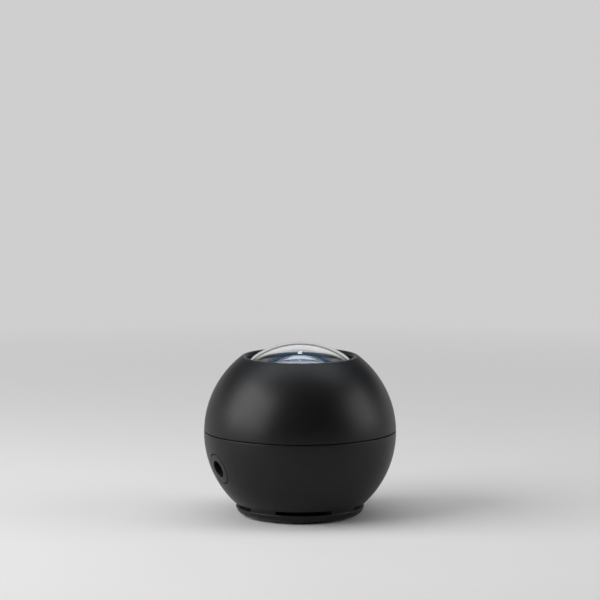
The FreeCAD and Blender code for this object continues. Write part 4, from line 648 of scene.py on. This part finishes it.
def finish_for(slot):
    """Finish of one of the record's material slots, made once."""
    name = slot + "_finish"
    known = bpy.data.materials.get(name)
    if known:
        return known
    chosen = bpy.context.scene.projector_finish
    own = {
        "soft_black_shell": chosen.shell,
        "foot_black": chosen.foot,
        "button_black": chosen.shell,
        "black_bezel": chosen.bezel,
        "black_inner": chosen.inner,
        "grey_frame": chosen.grey,
        "green_board": chosen.board,
        "lens_glass": bpy.context.scene.projector_optics.lens_tint,
        "clear_dome": (1.0, 1.0, 1.0),
    }
    written = {entry["slot"]: entry["base_color"][:3] for entry in frame["record"]["materials"]}
    material = FINISHES[slot](own.get(slot, written[slot])).material
    material.name = name
    return material


def stands_for(piece, node):
    """The piece takes a part's place and its body, and the part is hidden."""
    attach(piece, frame["nodes"][node]["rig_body"])
    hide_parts(node)


# ---------------------------------------------------------------- operators

class PROJECTOR_OT_parts(Operator):
    """Gives every fixed part the finish of its material slot"""
    bl_idname = "projector.parts"
    bl_label = "Finish the Fixed Parts"

    def execute(self, context):
        for entry in frame["record"]["subparts"]:
            worn = frame["nodes"][entry["node"]].data.materials
            worn.clear()
            worn.append(finish_for(entry["material_slot"]))
        return {"FINISHED"}


class PROJECTOR_OT_upper_shell(Operator):
    """Upper half of the ball, with its rounded opening and the neck inside it"""
    bl_idname = "projector.upper_shell"
    bl_label = "Upper Shell"

    def execute(self, context):
        ball = context.scene.projector_ball
        inner = ball.radius - ball.wall
        lip_r = ball.opening + ball.lip
        lip_z = ball.centre + leg(ball.radius - ball.lip, lip_r)
        lean = math.atan2(lip_z - ball.centre, lip_r)
        start = SEAM_LOW_Z + ball.seam_round
        start_r = leg(ball.radius, start - ball.centre)
        neck_r = ball.opening + 2.4 * MM
        seat_r = 30.2 * MM
        seat_z = DOME_FOOT_Z - DOME_GASKET
        neck_low = seat_z - 2.2 * MM
        section = Section(start_r - ball.seam_round, SEAM_LOW_Z)
        section.arc(start_r - ball.seam_round, start, math.pi / 2, 5)
        section.arc_to_height(ball.radius, ball.centre, ball.centre + ball.radius * math.sin(lean), 72)
        section.arc(lip_r, lip_z, math.pi - lean, 20)
        section.to(ball.opening, seat_z).to(seat_r, seat_z).to(seat_r, neck_low).to(neck_r, neck_low)
        section.to(neck_r, ball.centre + leg(inner, neck_r))
        section.arc_to_height(inner, ball.centre, FLANGE_TOP_Z, 24)
        section.to(FLANGE_R, FLANGE_TOP_Z).to(FLANGE_R, FLANGE_LOW_Z)
        section.to(leg(inner, FLANGE_LOW_Z - ball.centre), FLANGE_LOW_Z)
        section.arc_to_height(inner, ball.centre, SEAM_LOW_Z, 4)
        piece = as_piece("upper_shell_skin", section.spun(ball.segments), finish_for("soft_black_shell"))
        place = Matrix.Translation((0, 0, ball.centre))
        add_to(piece, [boss(BOSS_R, neck_low - ball.centre, at, inner + ball.wall / 2, place, PILOT_R,
                            CAM_BOSS_DEPTH) for at in around(3, 30.0, CAM_BOSS_AT_R)])
        stands_for(piece, "upper_shell")
        return {"FINISHED"}


class PROJECTOR_OT_lower_shell(Operator):
    """Lower half of the ball, with its spigot, its floor and the holes for the inlet and the buttons"""
    bl_idname = "projector.lower_shell"
    bl_label = "Lower Shell"

    def execute(self, context):
        ball = context.scene.projector_ball
        inlet = context.scene.projector_inlet
        buttons = context.scene.projector_buttons
        inner = ball.radius - ball.wall
        top = SEAM_LOW_Z - ball.seam_gap
        edge = top - ball.seam_round
        edge_r = leg(ball.radius, edge - ball.centre)
        spigot_top = high("lower_shell").z
        spigot_r = leg(inner, spigot_top - ball.centre) - 0.35 * MM
        floor = BALL_CUT_Z + ball.wall
        cut_r = leg(ball.radius, BALL_CUT_Z - ball.centre)
        section = Section(0.0, BALL_CUT_Z)
        section.to(FLOOR_CENTRE_R, BALL_CUT_Z).to(cut_r, BALL_CUT_Z)
        section.arc_to_height(ball.radius, ball.centre, edge, 80)
        section.arc(edge_r - ball.seam_round, edge, math.pi / 2, 5)
        section.to(spigot_r, top).to(spigot_r, spigot_top).to(spigot_r - SPIGOT_WALL, spigot_top)
        section.to(spigot_r - SPIGOT_WALL, ball.centre - 3.0 * MM)
        section.to(leg(inner, 4.5 * MM), ball.centre - 4.5 * MM)
        section.arc_to_height(inner, ball.centre, floor, 40)
        section.to(FLOOR_CENTRE_R, floor).to(0.0, floor)
        piece = as_piece("lower_shell_skin", section.spun(ball.segments), finish_for("soft_black_shell"))
        place = pointing(inlet.direction, inlet.tilt, ball.centre)
        cut_away(piece, rod(inlet.plate + inlet.joint, CUT_FROM, CUT_TO, place, 144))
        for side in (-1, 1):
            place = pointing(math.pi / 2, buttons.tilt, ball.centre, side * buttons.spacing / 2)
            cut_away(piece, rod(buttons.radius + buttons.gap, CUT_FROM, CUT_TO, place, 96))
        self.bosses(piece, ball, buttons, floor)
        stands_for(piece, "lower_shell")
        return {"FINISHED"}

    def bosses(self, piece, ball, buttons, floor):
        """Pillars of the chassis, blocks of the keepers, posts of the foot and of the switch board, and vents."""
        wall = ball.radius - ball.wall / 2
        below = BALL_CUT_Z - 1.0 * MM

        def upright(count, first, at_r, radius, bottom, top, steps):
            return [rod(radius, bottom, top, Matrix.Translation((*at, 0)), steps)
                    for at in around(count, first, at_r)]

        vents = upright(12, 0.0, VENT_AT_R, VENT_R, below, floor + 1.0 * MM, 32)
        pilots = upright(4, 45.0, FOOT_SCREW_AT_R, PILOT_R, below, BALL_CUT_Z + 2.0 * MM, 24)
        cut_away(piece, merged(vents + pilots))
        downward = Matrix.Translation((0, 0, ball.centre)) @ Matrix.Rotation(math.pi, 4, "X")
        grown = [boss(BOSS_R, ball.centre - CHASSIS_LOW_Z, at, wall, downward, PILOT_R, 8.0 * MM)
                 for at in around(4, 45.0, PILLAR_AT_R)]
        grown += upright(4, 45.0, FOOT_SCREW_AT_R, 3.6 * MM, floor - 0.3 * MM, floor + 2.6 * MM, 48)
        backward = pointing(math.pi / 2, buttons.tilt, ball.centre)
        well = buttons.radius + buttons.gap
        for side in (-1, 1):
            at = (0.0, side * buttons.spacing / 2)
            grown.append(boss(well + 1.3 * MM, BUTTON_WELL_FACE, at, wall, backward, well))
            at = (0.0, side * SWITCH_POST_ASIDE)
            grown.append(boss(SWITCH_POST_R, SWITCH_POST_FACE, at, wall, backward, 1.0 * MM, 4.3 * MM))
        for turn in range(3):
            block = bmesh.new()
            bmesh.ops.create_cube(block, size=1.0)
            size = (9.0 * MM, 7.0 * MM, KEEPER_FOOT_Z - CHASSIS_TOP_Z)
            bmesh.ops.scale(block, vec=size, verts=block.verts)
            middle = (KEEPER_AT_R + size[0] / 2, 0.0, (KEEPER_FOOT_Z + CHASSIS_TOP_Z) / 2)
            bmesh.ops.translate(block, vec=middle, verts=block.verts)
            for vert in block.verts:
                if vert.co.x > KEEPER_AT_R + 1.0 * MM:
                    vert.co.x = math.sqrt(wall ** 2 - vert.co.y ** 2 - (vert.co.z - ball.centre) ** 2)
            bmesh.ops.rotate(block, verts=block.verts, cent=(0, 0, 0),
                             matrix=Matrix.Rotation(math.radians(30.0 + 120.0 * turn), 3, "Z"))
            grown.append(block)
        add_to(piece, grown)


class PROJECTOR_OT_foot(Operator):
    """Foot with its rounded flank and the lands that carry the ball"""
    bl_idname = "projector.foot"
    bl_label = "Foot"

    def execute(self, context):
        ball = context.scene.projector_ball
        foot = context.scene.projector_foot
        rim_z = BALL_CUT_Z - foot.slot
        low_z = rim_z - foot.flank
        at_r = foot.rim_radius - foot.flank
        inner = foot.flank - foot.wall
        groove = foot.grip_width / 2 + 0.08 * MM
        groove_z = high("anti_slip_ring").z
        edge = 0.45 * MM
        section = Section(0.0, low_z)
        section.to(foot.grip_radius - groove, low_z).to(foot.grip_radius - groove, groove_z)
        section.to(foot.grip_radius + groove, groove_z).to(foot.grip_radius + groove, low_z).to(at_r, low_z)
        section.arc(at_r, rim_z, math.radians(84.0), 24)
        section.rounded(foot.rim_radius, rim_z, at_r + inner, rim_z, edge)
        section.to(at_r + inner, rim_z).arc(at_r, rim_z, -math.pi / 2, 16).to(0.0, low_z + foot.wall)
        piece = as_piece("foot_body", section.spun(240), finish_for("foot_black"))
        for place in screw_places():
            cut_away(piece, rod(2.25 * MM, low_z - 1.0 * MM, low_z + foot.wall + 1.0 * MM, place, 48))
        grown = []
        pair = (foot.land_first, foot.land_first + foot.land_pair)
        for middle in (*pair, pair[0] + math.pi, pair[1] + math.pi):
            back, front = foot.rim_radius - foot.wall, foot.rim_radius - foot.land_inset
            block = Section(back, rim_z - 0.2 * MM)
            block.to(front, rim_z - 0.2 * MM).to(front, rim_z)
            block.to(foot.rim_radius - 0.1 * MM, BALL_CUT_Z).to(back, BALL_CUT_Z)
            shape = block.spun(24, foot.land_angle)
            bmesh.ops.rotate(shape, verts=shape.verts, cent=(0, 0, 0),
                             matrix=Matrix.Rotation(middle - foot.land_angle / 2, 3, "Z"))
            grown.append(shape)
        seat = low_z + foot.wall - 0.3 * MM
        rib_top = BALL_CUT_Z - foot.rib_gap
        rib_in = foot.rib - foot.rib_wall
        rib = Section(rib_in, seat)
        rib.to(foot.rib, seat).rounded(foot.rib, rib_top, rib_in, rib_top, 0.25 * MM).to(rib_in, rib_top)
        grown.append(rib.spun(160))
        for place in screw_places():
            post = Section(foot.screw_hole, seat)
            post.to(foot.post, seat).to(foot.post, BALL_CUT_Z).to(foot.screw_hole, BALL_CUT_Z)
            shape = post.spun(48)
            bmesh.ops.transform(shape, matrix=place, verts=shape.verts)
            grown.append(shape)
        add_to(piece, grown)
        stands_for(piece, "foot_dish")
        return {"FINISHED"}


class PROJECTOR_OT_grip_ring(Operator):
    """Anti-slip ring under the foot, with rounded edges"""
    bl_idname = "projector.grip_ring"
    bl_label = "Anti-slip Ring"

    def execute(self, context):
        foot = context.scene.projector_foot
        inside = foot.grip_radius - foot.grip_width / 2
        outside = foot.grip_radius + foot.grip_width / 2
        bottom, top = low("anti_slip_ring").z, high("anti_slip_ring").z
        section = Section(foot.grip_radius, bottom)
        section.rounded(outside, bottom, outside, top, 0.3 * MM)
        section.to(outside, top).to(inside, top)
        section.rounded(inside, bottom, foot.grip_radius, bottom, 0.3 * MM)
        piece = as_piece("anti_slip_ring_rubber", section.spun(192), finish_for("black_rubber"))
        stands_for(piece, "anti_slip_ring")
        return {"FINISHED"}


def spare(lamp, piece):
    """Keeps the reflection of a lamp off one piece."""
    group = bpy.data.collections.new(lamp.name + "_spares")
    group.objects.link(piece)
    lamp.light_linking.receiver_collection = group
    group.collection_objects[0].light_linking.link_state = "EXCLUDE"


class PROJECTOR_OT_dome(Operator):
    """Clear dome with its straight skirt"""
    bl_idname = "projector.dome"
    bl_label = "Clear Dome"

    def execute(self, context):
        optics = context.scene.projector_optics
        centre = DOME_TOP_Z - optics.dome_curve
        inner = optics.dome_curve - optics.dome_glass
        bore = optics.dome_skirt - optics.dome_glass
        edge_z = centre + leg(optics.dome_curve, optics.dome_skirt)
        section = Section(bore, DOME_FOOT_Z)
        section.to(optics.dome_skirt, DOME_FOOT_Z).to(optics.dome_skirt, edge_z - 0.1 * MM)
        section.to(optics.dome_skirt - 0.08 * MM, edge_z + 0.06 * MM)
        section.arc_to_height(optics.dome_curve, centre, DOME_TOP_Z, 72).to(0.0, centre + inner)
        section.arc_to_height(inner, centre, centre + leg(inner, bore), 72)
        piece = as_piece("dome_glass", section.spun(240), finish_for("clear_dome"))
        stands_for(piece, "dome_lens")
        for lamp in ("key_lamp", "fill_lamp"):
            spare(bpy.data.objects[lamp], piece)
        return {"FINISHED"}


class PROJECTOR_OT_bezel(Operator):
    """Slate-black dished ring between the opening and the lens"""
    bl_idname = "projector.bezel"
    bl_label = "Lens Bezel"

    def execute(self, context):
        optics = context.scene.projector_optics
        edge, bore = optics.bezel_edge, optics.bezel_bore
        inside = BEZEL_R - optics.bezel_wall
        shoulder = DOME_FOOT_Z - DOME_GASKET
        dish = BEZEL_TOP_Z - optics.bezel_dish
        under = dish - optics.bezel_wall
        crest = edge - optics.bezel_wall / 2
        section = Section(inside, BEZEL_LOW_Z)
        section.to(BEZEL_R, BEZEL_LOW_Z)
        section.rounded(BEZEL_R, shoulder, edge, BEZEL_TOP_Z, 0.3 * MM)
        section.rounded(edge, BEZEL_TOP_Z, crest, BEZEL_TOP_Z, 0.25 * MM)
        section.rounded(crest, BEZEL_TOP_Z, bore, dish, 0.4 * MM)
        section.rounded(bore, dish, bore, under, 0.3 * MM).to(bore, under).to(edge - optics.bezel_wall, under)
        section.to(inside, shoulder - optics.bezel_wall)
        piece = as_piece("lens_bezel_ring", section.spun(192), finish_for("black_bezel"))
        stands_for(piece, "lens_bezel")
        return {"FINISHED"}


class PROJECTOR_OT_front_lens(Operator):
    """Front element of the lens"""
    bl_idname = "projector.front_lens"
    bl_label = "Front Lens"

    def execute(self, context):
        optics = context.scene.projector_optics
        centre = LENS_TOP_Z - optics.lens_curve
        edge_z = centre + leg(optics.lens_curve, optics.lens_radius)
        section = Section(0.0, LENS_BACK_Z)
        section.to(optics.lens_radius, LENS_BACK_Z).to(optics.lens_radius, edge_z)
        section.arc_to_height(optics.lens_curve, centre, LENS_TOP_Z, 48)
        piece = as_piece("front_lens_glass", section.spun(192), finish_for("lens_glass"))
        stands_for(piece, "front_lens")
        return {"FINISHED"}


class PROJECTOR_OT_inlet(Operator):
    """Round inlet plate with the recess for the plug and its rounded mouth"""
    bl_idname = "projector.inlet"
    bl_label = "Power Inlet"

    def execute(self, context):
        ball = context.scene.projector_ball
        inlet = context.scene.projector_inlet
        inner = ball.radius - ball.wall - 0.06 * MM
        flange, rim = 12.0 * MM, 0.5 * MM
        bottom = ball.radius - inlet.depth
        seat = bottom - 1.8 * MM
        back = seat - 1.5 * MM
        nut = inlet.nut + 0.08 * MM
        mouth = leg(ball.radius, inlet.bore)
        edge = leg(ball.radius, inlet.plate)
        shoulder = leg(inner, inlet.plate)
        socket = 4.06 * MM
        section = Section(socket, back)
        section.to(flange, back).to(flange, leg(inner, flange))
        section.arc_to_height(inner, 0.0, shoulder, 4)
        section.rounded(inlet.plate, edge, inlet.plate - 1.0 * MM, edge + 0.16 * MM, 0.15 * MM, 3)
        middle = inlet.bore + rim
        section.arc_to_height(ball.radius, 0.0, leg(ball.radius, middle), 8)
        section.rounded(inlet.bore, mouth, inlet.bore, bottom, rim * 0.9, 6)
        section.to(inlet.bore, bottom).to(nut, bottom).to(nut, seat).to(socket, seat)
        place = pointing(inlet.direction, inlet.tilt, ball.centre)
        piece = as_piece("inlet_plate_moulding", section.spun(144), finish_for("black_inner"), place)
        stands_for(piece, "inlet_plate")
        return {"FINISHED"}


class PROJECTOR_OT_buttons(Operator):
    """Domed push buttons at the back; the lamp's button has a small dimple"""
    bl_idname = "projector.buttons"
    bl_label = "Push Buttons"

    def execute(self, context):
        ball = context.scene.projector_ball
        buttons = context.scene.projector_buttons
        face = leg(ball.radius, buttons.spacing / 2) + buttons.proud
        inner = face - buttons.cap
        crown = 2 * buttons.cap
        lip = buttons.radius + buttons.gap + 0.8 * MM
        edge_z = face - crown + leg(crown, buttons.radius)
        for node, side, dimple in (("power_button", 1, 1.1 * MM), ("rotation_button", -1, 0.0)):
            section = Section(0.0, inner)
            section.to(lip, inner).to(lip, inner + 1.0 * MM).to(buttons.radius, inner + 1.0 * MM)
            section.rounded(buttons.radius, edge_z, buttons.radius - 1.0 * MM, edge_z + 0.24 * MM, 0.45 * MM)
            top_z = face - crown + leg(crown, dimple)
            section.arc_to_height(crown, face - crown, top_z, 16)
            if dimple:
                section.arc(0.0, top_z + 1.4 * MM, -math.atan2(dimple, 1.4 * MM), 8)
            place = pointing(math.pi / 2, buttons.tilt, ball.centre, side * buttons.spacing / 2)
            piece = as_piece(node + "_cap", section.spun(96), finish_for("button_black"), place)
            stands_for(piece, node)
        return {"FINISHED"}


def lit_by(name, watts, size, place, aim, behind_glass=False):
    """Rectangular soft lamp that faces a point. Most lamps aren't seen through glass."""
    light = bpy.data.lights.new(name, "AREA")
    light.shape = "RECTANGLE"
    light.energy = watts
    light.size, light.size_y = size
    lamp = placed(name, light)
    lamp.visible_transmission = behind_glass
    lamp.location = place
    lamp.rotation_euler = (Vector(aim) - Vector(place)).to_track_quat("-Z", "Y").to_euler()


class PROJECTOR_OT_stage(Operator):
    """Pale floor that fades into the backdrop, soft lamps and the camera"""
    bl_idname = "projector.stage"
    bl_label = "Stage"

    def execute(self, context):
        stage = context.scene.projector_stage
        ball = context.scene.projector_ball
        self.floor(stage)
        self.world(context, stage)
        aim = (0, 0, ball.centre)
        lit_by("key_lamp", stage.key, (1.25, 1.05), (-1.09, -0.36, 0.66), aim)
        lit_by("fill_lamp", stage.fill, (0.75, 0.8), (1.18, -0.08, 0.50), aim)
        lit_by("glint_lamp", stage.glint, (0.06, 0.05), (-0.005, 0.75, 0.99), aim, behind_glass=True)
        lit_by("top_lamp", stage.top, (1.8, 0.7), (0.0, 0.10, 1.25), aim)
        camera = bpy.data.cameras.new("camera")
        camera.lens = stage.camera_lens
        camera.sensor_width = 36.0
        camera.clip_start = 0.05
        camera.clip_end = 50.0
        viewer = placed("camera", camera)
        rise = math.radians(CAMERA_RISE)
        viewer.location = (-CAMERA_ASIDE, -stage.camera_distance * math.cos(rise),
                           ball.centre + stage.camera_distance * math.sin(rise))
        viewer.rotation_euler = (math.radians(90.0 - CAMERA_PITCH), 0.0, 0.0)
        context.scene.camera = viewer
        context.scene.view_settings.view_transform = "Standard"
        return {"FINISHED"}

    def floor(self, stage):
        """Floor that fades into the backdrop and can be seen through from below."""
        shape = bmesh.new()
        bmesh.ops.create_circle(shape, cap_ends=True, segments=96, radius=6.0)
        mesh = mesh_from("floor", shape)
        piece = placed("floor", mesh)
        finish = Finish(stage.floor, "floor_paper", roughness=0.9, specular_ior_level=0.15)
        finish.shade(lighter(stage.floor, 0.985), finish.noise(9.0, 3.0))
        nodes, links = finish.nodes, finish.links
        distance = nodes.new("ShaderNodeVectorMath")
        distance.operation = "LENGTH"
        links.new(finish.place, distance.inputs[0])
        far = finish.ranged(distance.outputs["Value"], 0.25, 0.9, 0.0, 1.0)
        factor = joined(nodes, links, "MULTIPLY", far, seen_rays(nodes, links))
        glow = nodes.new("ShaderNodeEmission")
        glow.inputs["Color"].default_value = (*stage.backdrop, 1.0)
        faded = blended(nodes, links, factor, finish.shader.outputs[0], glow.outputs[0])
        behind = nodes.new("ShaderNodeNewGeometry").outputs["Backfacing"]
        one_sided = blended(nodes, links, behind, faded, nodes.new("ShaderNodeBsdfTransparent").outputs[0])
        links.new(one_sided, nodes["Material Output"].inputs["Surface"])
        mesh.materials.append(finish.material)

    def sweep(self, nodes, links):
        """Strength of the backdrop and share of the ceiling's colour. Reflections and glass see the backdrop end in
        a dark gap under a pale panel at the back, a slate ceiling over it, and the room in front dark."""
        axes = nodes.new("ShaderNodeSeparateXYZ")
        links.new(nodes.new("ShaderNodeTexCoord").outputs["Generated"], axes.inputs[0])

        def eased(value, *ends):
            return spread(nodes, links, value, ends, "SMOOTHSTEP")

        def times(first, second):
            return joined(nodes, links, "MULTIPLY", first, second)

        def plus(first, second):
            return joined(nodes, links, "ADD", first, second)

        aside = joined(nodes, links, "ABSOLUTE", axes.outputs["X"])
        up = axes.outputs["Z"]
        panel = times(eased(up, 0.33, 0.38, 0.0, 1.75), eased(up, 0.58, 0.70, 1.0, 0.0))
        panel = times(panel, eased(times(aside, up), 0.09, 0.18, 1.0, 0.0))
        pale = plus(plus(eased(up, 0.21, 0.26, 1.0, 0.12), panel), eased(up, 0.60, 0.72, 0.0, 0.30))
        sweep = times(pale, eased(axes.outputs["Y"], -0.20, 0.30, 0.06, 1.0))
        camera = nodes.new("ShaderNodeLightPath").outputs["Is Camera Ray"]

        def unless_camera(value, otherwise):
            node = nodes.new("ShaderNodeMix")
            node.data_type = "FLOAT"
            links.new(camera, node.inputs["Factor"])
            links.new(value, node.inputs["A"])
            node.inputs["B"].default_value = otherwise
            return node.outputs[0]

        return unless_camera(sweep, 1.0), unless_camera(eased(up, 0.60, 0.72, 0.0, 1.0), 0.0)

    def world(self, context, stage):
        """Even light from all round, and the backdrop that the camera, reflections and glass see."""
        world = bpy.data.worlds.new("studio")
        world.use_nodes = True
        nodes, links = world.node_tree.nodes, world.node_tree.links
        nodes.clear()
        light = nodes.new("ShaderNodeBackground")
        light.inputs["Color"].default_value = (1.0, 1.0, 1.0, 1.0)
        light.inputs["Strength"].default_value = stage.ambient
        seen = nodes.new("ShaderNodeBackground")
        strength, ceiling = self.sweep(nodes, links)
        tint = tinted(nodes, links, ceiling, stage.backdrop, stage.ceiling)
        links.new(tint, seen.inputs["Color"])
        links.new(strength, seen.inputs["Strength"])
        both = blended(nodes, links, seen_rays(nodes, links), light.outputs[0], seen.outputs[0])
        output = nodes.new("ShaderNodeOutputWorld")
        links.new(both, output.inputs["Surface"])
        context.scene.world = world


class PROJECTOR_PT_panel(Panel):
    """Sizes, colours and steps of the planetarium projector"""
    bl_idname = "PROJECTOR_PT_panel"
    bl_label = "Planetarium Projector"
    bl_space_type = "VIEW_3D"
    bl_region_type = "UI"
    bl_category = "Projector"

    def draw(self, context):
        for name, kind in SETTINGS.items():
            box = self.layout.box()
            box.label(text=kind.__doc__)
            chosen = getattr(context.scene, name)
            for size in kind.__annotations__:
                box.prop(chosen, size)
        for step in STEPS:
            self.layout.operator(step.bl_idname)


SETTINGS = {
    "projector_ball": BallSettings,
    "projector_foot": FootSettings,
    "projector_optics": OpticsSettings,
    "projector_inlet": InletSettings,
    "projector_buttons": ButtonSettings,
    "projector_finish": FinishSettings,
    "projector_stage": StageSettings,
}
STEPS = (
    PROJECTOR_OT_stage,
    PROJECTOR_OT_parts,
    PROJECTOR_OT_upper_shell,
    PROJECTOR_OT_lower_shell,
    PROJECTOR_OT_foot,
    PROJECTOR_OT_grip_ring,
    PROJECTOR_OT_dome,
    PROJECTOR_OT_bezel,
    PROJECTOR_OT_front_lens,
    PROJECTOR_OT_inlet,
    PROJECTOR_OT_buttons,
)
CLASSES = (*SETTINGS.values(), *STEPS, PROJECTOR_PT_panel)


def register():
    for kind in CLASSES:
        bpy.utils.register_class(kind)
    for name, kind in SETTINGS.items():
        setattr(bpy.types.Scene, name, PointerProperty(type=kind))


def unregister():
    for name in SETTINGS:
        delattr(bpy.types.Scene, name)
    for kind in reversed(CLASSES):
        bpy.utils.unregister_class(kind)


def main():
    register()
    for step in STEPS:
        group, name = step.bl_idname.split(".")
        getattr(getattr(bpy.ops, group), name)()


if __name__ == "__main__":
    main()
